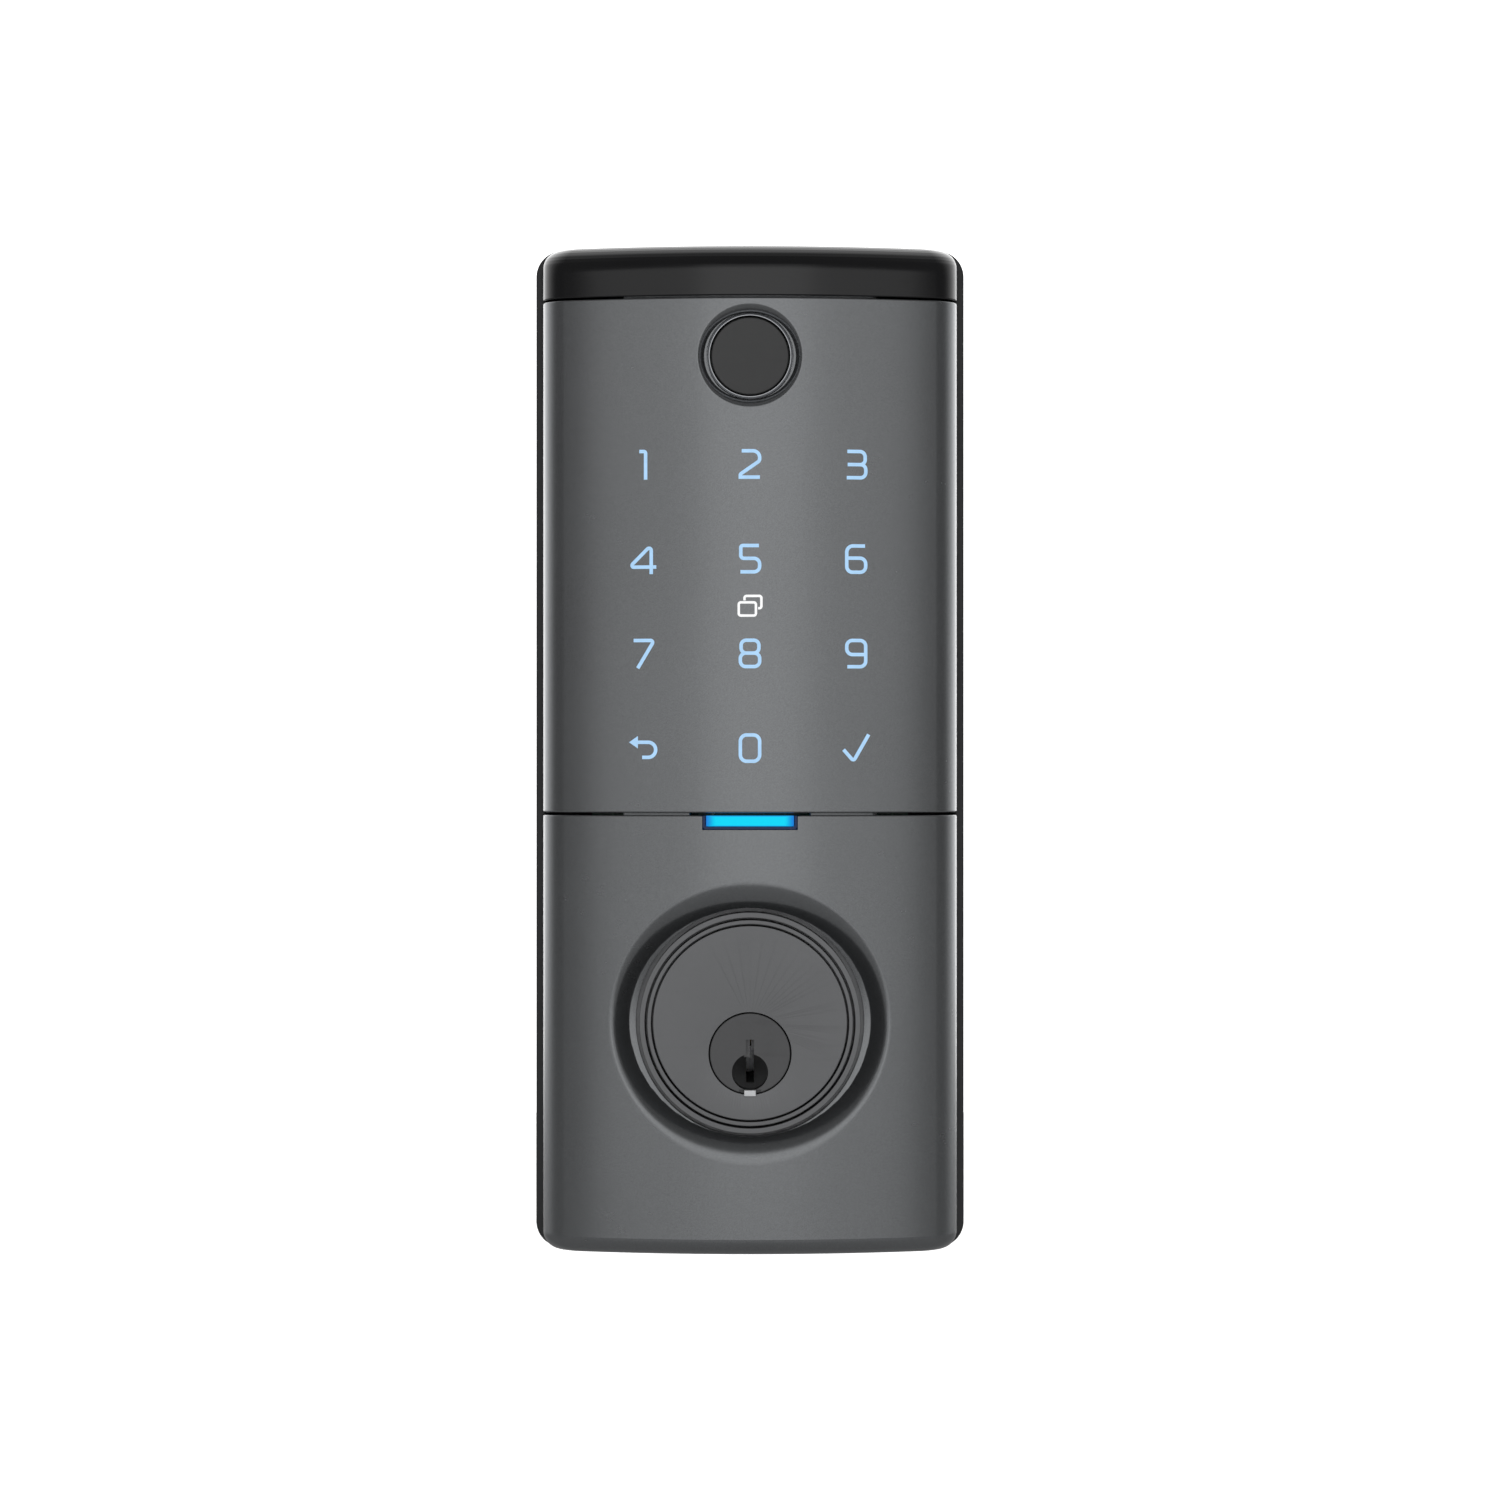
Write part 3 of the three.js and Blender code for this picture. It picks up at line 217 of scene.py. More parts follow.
def soften(corners, steps=5, closed=True):
    """An outline whose corners with a third value are rounded to that radius."""
    outline = []
    count = len(corners)
    for i, (x, y, *rounding) in enumerate(corners):
        inner = closed or 0 < i < count - 1
        if not rounding or rounding[0] == 0 or not inner:
            outline.append((x, y))
            continue
        corner = Vector((x, y))
        before = (Vector(corners[i - 1][:2]) - corner).normalized()
        after = (Vector(corners[(i + 1) % count][:2]) - corner).normalized()
        half = before.angle(after) / 2
        centre = corner + (before + after).normalized() * rounding[0] / math.sin(half)
        start = corner + before * rounding[0] / math.tan(half) - centre
        sweep = math.pi - 2 * half
        if start.x * (after.y - before.y) - start.y * (after.x - before.x) < 0:
            sweep = -sweep
        first = math.atan2(start.y, start.x)
        outline += arc(centre.x, centre.y, rounding[0], first, first + sweep, steps)
    return outline


def rounded_rectangle(left, right, low, high, radius, steps=5):
    pairs = [(left, low), (right, low), (right, high), (left, high)]
    return soften([(x, y, radius) for x, y in pairs], steps)


# ---------------------------------------------------------------- meshes


def skin(rings, closed=False):
    """A closed mesh through rings of points, where a ring of one point is a pole."""
    points, faces, starts = [], [], []
    for ring in rings:
        starts.append(len(points))
        points += ring
    pairs = list(zip(range(len(rings) - 1), range(1, len(rings))))
    if closed:
        pairs.append((len(rings) - 1, 0))
    for a, b in pairs:
        count = max(len(rings[a]), len(rings[b]))
        for i in range(count):
            j = (i + 1) % count
            corners = [starts[a] + k for k in ((i, j) if len(rings[a]) > 1 else (0,))]
            corners += [starts[b] + k for k in ((j, i) if len(rings[b]) > 1 else (0,))]
            faces.append(corners)
    if not closed:
        for ring, start in ((rings[0], starts[0]), (rings[-1], starts[-1])):
            if len(ring) > 1:
                faces.append(range(start, start + len(ring)))
    mesh = bpy.data.meshes.new("solid")
    mesh.from_pydata([Vector(point) for point in points], [], [list(face) for face in faces])
    return tidied(mesh, MERGE)


def tidied(mesh, distance):
    """Merges doubled points and turns the faces outwards."""
    work = bmesh.new()
    work.from_mesh(mesh)
    bmesh.ops.remove_doubles(work, verts=work.verts, dist=distance)
    bmesh.ops.recalc_face_normals(work, faces=work.faces)
    work.to_mesh(mesh)
    work.free()
    return mesh


def block(left, right, low, high, back, front):
    corners = [(left, back), (right, back), (right, front), (left, front)]
    return skin([[spot(x, up, forward) for x, forward in corners] for up in (low, high)])


def turned(profile, x=0.0, up=0.0, steps=144, closed=False):
    """A (radius, forward) profile turned about an axis that points forward."""
    return skin(turned_rings(profile, x, up, steps), closed)


def turned_rings(profile, x, up, steps):
    rings = []
    for radius, forward in profile:
        if radius < ON_AXIS:
            rings.append([spot(x, up, forward)])
        else:
            rings.append([spot(x + dx, up + dz, forward) for dx, dz in circle(radius, steps)])
    return rings


def circle(radius, steps):
    return arc(0.0, 0.0, radius, 0.0, ROUND * (steps - 1) / steps, steps - 1)


def upright(profile, forward, steps=40):
    """A (radius, up) profile turned about an upright axis."""
    rings = []
    for radius, up in profile:
        if radius < ON_AXIS:
            rings.append([spot(0.0, up, forward)])
        else:
            rings.append([spot(dx, up, forward + dy) for dx, dy in circle(radius, steps)])
    return skin(rings)


def bar(left, right, up, forward, radius, steps=32):
    """A round bar from side to side."""
    ring = circle(radius, steps)
    return skin([[spot(x, up + dz, forward + dy) for dy, dz in ring] for x in (left, right)])


def rod(x, up, radius, back, front, edge=0.0, steps=96):
    profile = [(0.0, back), (radius, back, edge), (radius, front, edge), (0.0, front)]
    return turned(soften(profile, 4, closed=False), x, up, steps)


def pipe(x, up, inner, outer, back, front, edge=0.0, steps=144):
    profile = [(inner, back, edge), (outer, back, edge), (outer, front, edge), (inner, front, edge)]
    return turned(soften(profile, 4), x, up, steps, closed=True)


def slab(left, right, low, high, corner, back, front, edge=0.0, steps=20):
    """An upright slab with round corners and rounded front and back edges."""
    edge_rings = 5
    quarter = [QUARTER * i / edge_rings for i in range(edge_rings + 1)] if edge else [QUARTER]
    levels = [(edge * (1 - math.sin(a)), back + edge * (1 - math.cos(a))) for a in quarter]
    levels += [(inset, front + back - forward) for inset, forward in reversed(levels)]
    rings = []
    for inset, forward in levels:
        outline = rounded_rectangle(
            left + inset, right - inset, low + inset, high - inset, corner - inset, steps
        )
        rings.append([spot(x, up, forward) for x, up in outline])
    return skin(rings)


def carried(node, whole=False):
    """A CAD node's solid in millimetres with doubled points merged and, if whole, flat faces too."""
    work = bmesh.new()
    work.from_mesh(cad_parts[node].data)
    bmesh.ops.scale(work, vec=(1 / MM,) * 3, verts=work.verts)
    bmesh.ops.remove_doubles(work, verts=work.verts, dist=2e-4)
    bmesh.ops.dissolve_degenerate(work, edges=work.edges, dist=1e-5)
    if whole:
        bmesh.ops.dissolve_limit(
            work, angle_limit=math.radians(0.5), verts=work.verts, edges=work.edges
        )
    mesh = bpy.data.meshes.new(node)
    work.to_mesh(mesh)
    work.free()
    return mesh


def in_scene(name, data):
    made = bpy.data.objects.new(name, data)
    bpy.context.scene.collection.objects.link(made)
    return made


def evaluated(holder):
    """An object's mesh with its modifiers applied. The object is removed."""
    graph = bpy.context.evaluated_depsgraph_get()
    mesh = bpy.data.meshes.new_from_object(holder.evaluated_get(graph))
    bpy.data.objects.remove(holder)
    return mesh


def modified(mesh, kind, **settings):
    holder = in_scene("work", mesh)
    modifier = holder.modifiers.new(kind, kind)
    for key, value in settings.items():
        setattr(modifier, key, value)
    return evaluated(holder)


def combine(mesh, operation, *others):
    """A solid with others joined to it, cut from it or kept in common."""
    for other in others:
        tool = in_scene("tool", other)
        for solver in ("MANIFOLD", "EXACT"):
            made = modified(mesh, "BOOLEAN", object=tool, operation=operation, solver=solver)
            if made.polygons and is_closed(made):
                break
        else:
            raise RuntimeError(f"{mesh.name}: {operation.lower()} left no closed solid")
        bpy.data.objects.remove(tool)
        mesh = made
    return mesh


def is_closed(mesh):
    work = bmesh.new()
    work.from_mesh(mesh)
    closed = all(edge.is_manifold for edge in work.edges)
    work.free()
    return closed


def joined(mesh, *others):
    return combine(mesh, "UNION", *others)


def cut(mesh, *others):
    return combine(mesh, "DIFFERENCE", *others)


def within(mesh, *others):
    return combine(mesh, "INTERSECT", *others)


def bevelled(mesh, edge, segments=2):
    return modified(
        mesh,
        "BEVEL",
        width=edge,
        segments=segments,
        limit_method="ANGLE",
        angle_limit=math.radians(35),
        use_clamp_overlap=True,
    )


def shaded(mesh, angle=36):
    """Smooth shading with sharp edges kept, and flat faces flat right up to their rounded edges."""
    mesh.shade_smooth()
    mesh.set_sharp_from_angle(angle=math.radians(angle))
    return modified(mesh, "WEIGHTED_NORMAL", keep_sharp=True, weight=60)


def piece(name, mesh, slot, *nodes, body="lock_unit", finish=None, angle=36):
    """Adds a finished piece that rides on a body and stands for CAD nodes."""
    mesh = shaded(mesh, angle)
    mesh.transform(Matrix.Scale(MM, 4))
    mesh.name = name
    mesh.materials.clear()
    mesh.materials.append(finish or material(slot))
    made = in_scene(name, mesh)
    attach(made, body)
    if nodes:
        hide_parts(*nodes)
    return made


def refined(node, slot, edge, body="lock_unit", segments=2):
    """The CAD node's own shape with its edges rounded."""
    mesh = bevelled(carried(node, whole=True), edge, segments)
    return piece(f"{node}_visual", mesh, slot, node, body=body)


# ---------------------------------------------------------------- shader and geometry nodes


def node(tree, kind, values=None, **settings):
    """Adds a node. Each value is a constant or the output that feeds the input."""
    made = tree.nodes.new(kind)
    for key, value in settings.items():
        setattr(made, key, value)
    for key, value in (values or {}).items():
        if isinstance(value, bpy.types.NodeSocket):
            tree.links.new(value, made.inputs[key])
        else:
            made.inputs[key].default_value = value
    return made


def calculate(tree, operation, *values):
    numbers = dict(enumerate(values))
    return node(tree, "ShaderNodeMath", numbers, operation=operation).outputs[0]


def mixed(tree, share, first, second):
    return node(tree, "ShaderNodeMix", {0: share, 6: first, 7: second}, data_type="RGBA").outputs[2]


def ranged(tree, value, low, high, to_low, to_high):
    values = {0: value, 1: low, 2: high, 3: to_low, 4: to_high}
    return node(tree, "ShaderNodeMapRange", values, interpolation_type="SMOOTHSTEP").outputs[0]


def noise(tree, where, scale, detail=3.0, roughness=0.5):
    values = {"Vector": where, "Scale": scale, "Detail": detail, "Roughness": roughness}
    return node(tree, "ShaderNodeTexNoise", values).outputs["Fac"]


def new_group(name, inputs, outputs, kind="ShaderNodeTree"):
    """An empty node group with named sockets, and its input and output nodes."""
    tree = bpy.data.node_groups.new(name, kind)
    for label, sort, default in inputs:
        socket = tree.interface.new_socket(name=label, in_out="INPUT", socket_type=sort)
        if default is not None:
            socket.default_value = default
    for label, sort in outputs:
        tree.interface.new_socket(name=label, in_out="OUTPUT", socket_type=sort)
    return tree, tree.nodes.new("NodeGroupInput").outputs, tree.nodes.new("NodeGroupOutput").inputs


FLOAT, COLOUR = "NodeSocketFloat", "NodeSocketColor"


def colour_drift():
    """Slow change of colour over the surface, as paint, plating and moulding have."""
    tree, given, result = new_group(
        "Colour Drift",
        [("Colour", COLOUR, None), ("Amount", FLOAT, 0.1), ("Scale", FLOAT, 40.0)],
        [("Colour", COLOUR)],
    )
    where = node(tree, "ShaderNodeTexCoord").outputs["Object"]
    patch = noise(tree, where, given["Scale"], 4.0, 0.55)
    tree.links.new(scattered(tree, patch, 0.3, 0.7, given), result["Colour"])
    return tree


def scattered(tree, pattern, low, high, given):
    """The given colour made darker and lighter by the given amount, following a pattern."""
    darkest = calculate(tree, "SUBTRACT", 1.0, given["Amount"])
    lightest = calculate(tree, "ADD", 1.0, given["Amount"])
    level = ranged(tree, pattern, low, high, darkest, lightest)
    grey = node(tree, "ShaderNodeCombineColor", {0: level, 1: level, 2: level}).outputs[0]
    made = node(
        tree, "ShaderNodeMix", {0: 1.0, 6: given["Colour"], 7: grey}, data_type="RGBA",
        blend_type="MULTIPLY",
    )
    return made.outputs[2]


def surface_grain():
    """Fine height of a sprayed, moulded or blasted surface."""
    tree, given, result = new_group(
        "Surface Grain", [("Scale", FLOAT, 2500.0), ("Wave", FLOAT, 0.3)], [("Height", FLOAT)]
    )
    where = node(tree, "ShaderNodeTexCoord").outputs["Object"]
    fine = noise(tree, where, given["Scale"], 2.0)
    slow = noise(tree, where, calculate(tree, "MULTIPLY", given["Scale"], 0.12), 1.0)
    height = calculate(tree, "ADD", fine, calculate(tree, "MULTIPLY", slow, given["Wave"]))
    tree.links.new(height, result["Height"])
    return tree


def handling_marks():
    """Roughness with faint smears and hairline marks from handling."""
    tree, given, result = new_group(
        "Handling Marks",
        [("Roughness", FLOAT, 0.4), ("Amount", FLOAT, 0.05), ("Scale", FLOAT, 60.0)],
        [("Roughness", FLOAT)],
    )
    where = node(tree, "ShaderNodeTexCoord").outputs["Object"]
    smear = ranged(tree, noise(tree, where, given["Scale"], 5.0, 0.6), 0.4, 0.75, 0.0, 1.0)
    turned_coordinates = node(
        tree, "ShaderNodeMapping", {0: where, 2: (0.3, 0.9, 0.5), 3: (90.0, 1400.0, 1400.0)}
    )
    hairs = ranged(tree, noise(tree, turned_coordinates.outputs[0], 1.0, 1.0), 0.62, 0.75, 0.0, 0.6)
    marks = calculate(tree, "ADD", smear, hairs)
    rough = calculate(tree, "MULTIPLY_ADD", marks, given["Amount"], given["Roughness"])
    tree.links.new(rough, result["Roughness"])
    return tree


def metal_flake():
    """Tiny flakes in a paint, each catching the light a little differently."""
    tree, given, result = new_group(
        "Metal Flake",
        [("Colour", COLOUR, None), ("Amount", FLOAT, 0.25), ("Scale", FLOAT, 9000.0)],
        [("Colour", COLOUR)],
    )
    where = node(tree, "ShaderNodeTexCoord").outputs["Object"]
    cells = node(tree, "ShaderNodeTexVoronoi", {"Vector": where, "Scale": given["Scale"]})
    sparkle = node(tree, "ShaderNodeSeparateColor", {0: cells.outputs["Color"]}).outputs[0]
    tree.links.new(scattered(tree, sparkle, 0.0, 1.0, given), result["Colour"])
    return tree


def drawn_lines():
    """Height of fine parallel lines left by rolling, drawing or turning metal."""
    tree, given, result = new_group(
        "Drawn Lines",
        [("Across", "NodeSocketVector", None), ("Detail", FLOAT, 2.0)],
        [("Height", FLOAT)],
    )
    where = node(tree, "ShaderNodeTexCoord").outputs["Object"]
    stretched = node(
        tree, "ShaderNodeVectorMath", {0: where, 1: given["Across"]}, operation="MULTIPLY"
    )
    lines = noise(tree, stretched.outputs[0], 1.0, given["Detail"])
    tree.links.new(lines, result["Height"])
    return tree


GROUP_MAKERS = {
    "Colour Drift": colour_drift,
    "Surface Grain": surface_grain,
    "Handling Marks": handling_marks,
    "Metal Flake": metal_flake,
    "Drawn Lines": drawn_lines,
}


def effect(tree, name, values):
    """Places a shared shader group, built the first time it is asked for."""
    group = bpy.data.node_groups.get(name) or GROUP_MAKERS[name]()
    return node(tree, "ShaderNodeGroup", values, node_tree=group).outputs[0]


def slot_finishes():
    """Each slot's colour, roughness, metallic, amount of colour drift and of handling marks, grain
    per metre, grain depth in millimetres, drawn lines per metre along each axis, and the shader's
    own constants."""
    look = finishes()
    return {
        "satin_grey_paint": (
            look.paint, look.paint_roughness, 0.80, 0.015, 0.02, 2600, 0.0012, None,
            {"Coat Weight": 0.25, "Coat Roughness": 0.15},
        ),
        "gloss_black": (
            look.cap, 0.16, 0.0, 0.05, 0.04, 900, 0.0010, None, {},
        ),
        "matt_black": (look.case, 0.48, 0.0, 0.08, 0.06, 3200, 0.012, None, {}),
        "cylinder_grey": (look.cylinder, 0.34, 0.75, 0.03, 0.05, 4200, 0.003, None, {}),
        "plug_grey": (look.plug, 0.42, 0.7, 0.04, 0.06, 4200, 0.004, None, {}),
        "sensor_dark": (
            (0.044, 0.045, 0.046, 1.0), 0.34, 0.0, 0.04, 0.05, 5200, 0.002, None, {},
        ),
        "ring_silver": (
            (0.42, 0.43, 0.45, 1.0), 0.25, 1.0, 0.03, 0.05, 5000, 0.001, None, {},
        ),
        "bezel_blue": (
            (0.010, 0.035, 0.150, 1.0), 0.40, 0.0, 0.10, 0.05, 3000, 0.004, None, {},
        ),
        "tab_silver": (
            (0.80, 0.81, 0.83, 1.0), 0.38, 0.55, 0.03, 0.05, 5000, 0.002,
            (900.0, 900.0, 9000.0), {},
        ),
        "brass": (
            (0.62, 0.47, 0.20, 1.0), 0.26, 1.0, 0.08, 0.10, 2500, 0.002,
            (700.0, 9000.0, 700.0), {},
        ),
        "steel": (
            (0.42, 0.43, 0.45, 1.0), 0.30, 1.0, 0.06, 0.10, 2500, 0.002,
            (2500.0, 300.0, 2500.0), {},
        ),
        "zinc_plate": (
            (0.45, 0.46, 0.47, 1.0), 0.42, 1.0, 0.10, 0.12, 1800, 0.003,
            (5000.0, 600.0, 180.0), {},
        ),
        "spring_steel": (
            (0.40, 0.41, 0.42, 1.0), 0.25, 1.0, 0.05, 0.06, 3500, 0.001, None, {},
        ),
        "white_plastic": (
            (0.75, 0.75, 0.72, 1.0), 0.48, 0.0, 0.03, 0.05, 2200, 0.008, None,
            {"Subsurface Weight": 0.05},
        ),
        "black_component": (
            (0.020, 0.020, 0.021, 1.0), 0.50, 0.0, 0.10, 0.06, 3000, 0.010, None, {},
        ),
        "black_rubber": (
            (0.015, 0.015, 0.016, 1.0), 0.80, 0.0, 0.15, 0.08, 2400, 0.020, None,
            {"Sheen Weight": 0.15, "Sheen Roughness": 0.5},
        ),
        "copper": (
            (0.55, 0.24, 0.11, 1.0), 0.35, 1.0, 0.10, 0.10, 2500, 0.003,
            (600.0, 600.0, 6000.0), {},
        ),
        "circuit_board": (
            (0.015, 0.080, 0.040, 1.0), 0.34, 0.0, 0.06, 0.05, 2500, 0.004, None,
            {"Coat Weight": 0.3, "Coat Roughness": 0.15},
        ),
    }


def new_material(name):
    made = bpy.data.materials.new(name)
    made.use_nodes = True
    return made, made.node_tree, made.node_tree.nodes["Principled BSDF"]


@cache
def material(slot):
    """The finish of a material slot, made once."""
    if slot == "lens_cyan":
        return lit_lens()
    base, rough, metallic, drift, marks, scale, depth, lines, constants = slot_finishes()[slot]
    made, tree, shader = new_material(f"{slot}_finish")
    shader.inputs["Metallic"].default_value = metallic
    for key, value in constants.items():
        shader.inputs[key].default_value = value
    shade = effect(tree, "Colour Drift", {"Colour": tuple(base), "Amount": drift, "Scale": 35.0})
    height = effect(tree, "Surface Grain", {"Scale": scale})
    if lines:
        grooves = effect(tree, "Drawn Lines", {"Across": lines})
        height = calculate(tree, "MULTIPLY_ADD", grooves, 1.5, height)
    if slot == "satin_grey_paint":
        shade = effect(tree, "Metal Flake", {"Colour": shade, "Amount": 0.08, "Scale": 9000.0})
    if slot == "circuit_board":
        shade, height = board_tracks(tree, shade, height)
    tree.links.new(shade, shader.inputs["Base Color"])
    worn = effect(
        tree, "Handling Marks", {"Roughness": rough, "Amount": marks, "Scale": 70.0}
    )
    tree.links.new(worn, shader.inputs["Roughness"])
    bump = node(tree, "ShaderNodeBump", {"Height": height, "Strength": 1.0, "Distance": depth * MM})
    tree.links.new(bump.outputs[0], shader.inputs["Normal"])
    return made


def board_tracks(tree, shade, height):
    """Copper tracks under the solder mask and bright round vias."""
    where = node(tree, "ShaderNodeTexCoord").outputs["Object"]
    parts = node(tree, "ShaderNodeSeparateXYZ", {0: where}).outputs
    flat = node(tree, "ShaderNodeCombineXYZ", {0: parts[0], 1: parts[2]}).outputs[0]
    tracks = node(
        tree,
        "ShaderNodeTexBrick",
        {"Vector": flat, "Scale": 260.0, "Mortar Size": 0.035, "Mortar Smooth": 0.2,
         "Brick Width": 0.9, "Row Height": 0.22},
        offset=0.37,
        squash=0.6,
        squash_frequency=3,
    ).outputs["Fac"]
    dots = node(tree, "ShaderNodeTexVoronoi", {"Vector": flat, "Scale": 330.0, "Randomness": 0.8})
    via = ranged(tree, dots.outputs["Distance"], 0.10, 0.13, 1.0, 0.0)
    shade = mixed(tree, calculate(tree, "MULTIPLY", tracks, 0.6), shade, (0.05, 0.20, 0.09, 1.0))
    shade = mixed(tree, via, shade, (0.55, 0.42, 0.18, 1.0))
    height = calculate(tree, "MULTIPLY_ADD", tracks, 2.0, height)
    return shade, height


def lit_lens():
    """Milky lens lit from behind, bright in the middle and bluer towards its edges."""
    look = finishes()
    made, tree, shader = new_material("lens_cyan_finish")
    _, right, low, high = lens_window()
    where = node(tree, "ShaderNodeTexCoord").outputs["Object"]
    parts = node(tree, "ShaderNodeSeparateXYZ", {0: where}).outputs
    aside = calculate(tree, "ABSOLUTE", parts[0])
    side = ranged(tree, aside, (right - 1.6) * MM, right * MM, 0.0, 1.0)
    centred = calculate(tree, "SUBTRACT", parts[2], (low + high) / 2 * MM)
    above = calculate(tree, "ABSOLUTE", centred)
    half = (high - low) / 2
    rim = ranged(tree, above, half * 0.7 * MM, half * 1.05 * MM, 0.0, 0.8)
    edge = calculate(tree, "MAXIMUM", side, rim)
    speck = noise(tree, where, 900.0, 2.0)
    edge = calculate(tree, "ADD", edge, ranged(tree, speck, 0.3, 0.7, -0.03, 0.03))
    glow = mixed(tree, edge, tuple(look.light_bar), tuple(look.light_bar_edge))
    inside = calculate(tree, "LESS_THAN", aside, (right + 0.01) * MM)
    over = calculate(tree, "GREATER_THAN", parts[2], (low - 0.01) * MM)
    window = calculate(tree, "MULTIPLY", inside, over)
    glow = mixed(tree, window, (0.0, 0.004, 0.02, 1.0), glow)
    tree.links.new(glow, shader.inputs["Emission Color"])
    shader.inputs["Base Color"].default_value = (0.004, 0.030, 0.060, 1.0)
    shader.inputs["Specular IOR Level"].default_value = 0.08
    shader.inputs["Emission Strength"].default_value = 0.92
    worn = effect(tree, "Handling Marks", {"Roughness": 0.3, "Amount": 0.05, "Scale": 90.0})
    tree.links.new(worn, shader.inputs["Roughness"])
    grain = effect(tree, "Surface Grain", {"Scale": 2500.0})
    bump = node(tree, "ShaderNodeBump", {"Height": grain, "Distance": 0.004 * MM})
    tree.links.new(bump.outputs[0], shader.inputs["Normal"])
    return made


def lit_ink(name, tint, strength):
    """Print that lets the light behind it through a little unevenly."""
    made, tree, shader = new_material(name)
    glow = effect(tree, "Colour Drift", {"Colour": tint, "Amount": 0.05, "Scale": 600.0})
    tree.links.new(glow, shader.inputs["Emission Color"])
    shader.inputs["Emission Strength"].default_value = strength
    shader.inputs["Base Color"].default_value = (0.05, 0.06, 0.07, 1.0)
    grain = effect(tree, "Surface Grain", {"Scale": 4000.0})
    bump = node(tree, "ShaderNodeBump", {"Height": grain, "Distance": 0.003 * MM})
    tree.links.new(bump.outputs[0], shader.inputs["Normal"])
    worn = effect(tree, "Handling Marks", {"Roughness": 0.45, "Amount": 0.05, "Scale": 90.0})
    tree.links.new(worn, shader.inputs["Roughness"])
    return made


# ---------------------------------------------------------------- the front's outer surface


def crown():
    return extent("keypad_panel")[5]


def bow(x, lowered=0.0):
    """Height of the bowed front forward of the door."""
    radius = size("bow_radius")
    return crown() - lowered - radius + math.sqrt(radius**2 - x**2)


def front_section(inset, pinch, drop, back):
    """Closed (x, forward) outline of the front, narrowed by pinch and lowered by drop."""
    half = extent("keypad_panel")[1] - inset - pinch
    radius = size("bow_radius") - inset
    fillet = size("side_fillet") - inset
    centre = crown() - drop - size("bow_radius")
    x = half - fillet
    y = centre + math.sqrt((radius - fillet) ** 2 - x**2)
    meet = math.atan2(y - centre, x)
    fillet_steps, bow_steps = 16, 44
    right = arc(x, y, fillet, 0.0, meet, fillet_steps)
    right += arc(0.0, centre, radius, meet, QUARTER, bow_steps)[1:]
    left = [(-px, py) for px, py in reversed(right[:-1])]
    return [(-half, back), (half, back)] + right + left


def edge_steps(corner, roll, count=10):
    """Distances from an edge with the inset of its corner and of its roll at each."""
    reach = {0.0}
    for radius in (corner, roll):
        reach |= {radius * (1 - math.cos(QUARTER * i / count)) for i in range(count + 1)}
    return [(t, sunk(t, corner), sunk(t, roll)) for t in sorted(reach)]


def sunk(t, radius):
    """Inset of a rounded edge at a distance t from the edge."""
    return radius - math.sqrt(radius**2 - (radius - t) ** 2) if t < radius else 0.0


def front_body(inset=0.0, low_seam=None, high_seam=None, back=10.0):
    """The space inside the front's outer surface, between seams or its own rounded ends."""
    case = extent("rear_case")
    end = 0.15  # the rear case stands out this far above and below the front
    least = 0.3  # an inner corner is never sharper than this
    corner = max(size("shell_corner") - inset, least)
    seam = (size("seam_round"), size("seam_round"))
    low, high = case[2] + end + inset, case[3] - end - inset
    low_edge = (corner, max(size("bottom_fillet") - inset, least))
    high_edge = (corner, size("top_roll") - inset)
    if low_seam is not None:
        low, low_edge = low_seam, seam
    if high_seam is not None:
        high, high_edge = high_seam, seam
    levels = [(low + t, pinch, drop) for t, pinch, drop in edge_steps(*low_edge)]
    levels += [(high - t, pinch, drop) for t, pinch, drop in reversed(edge_steps(*high_edge))]
    rings = []
    for up, pinch, drop in levels:
        section = front_section(inset, pinch, drop, back)
        rings.append([spot(x, up, forward) for x, forward in section])
    return skin(rings)


def inside_front():
    return front_body(UNDER_SKIN, back=0.0)


def front_shell(node_name, low_seam=None, high_seam=None):
    """A finely curved wall of the front, joined to the CAD node's ribs and bosses behind it."""
    outer = front_body(0.0, low_seam, high_seam)
    before_parting = block(-FAR, FAR, -FAR, FAR, size("parting") + GAP / 2, FAR)
    wall = cut(within(outer, before_parting), front_body(size("wall"), back=0.0))
    behind = within(carried(node_name), inside_front())
    return joined(wall, behind)


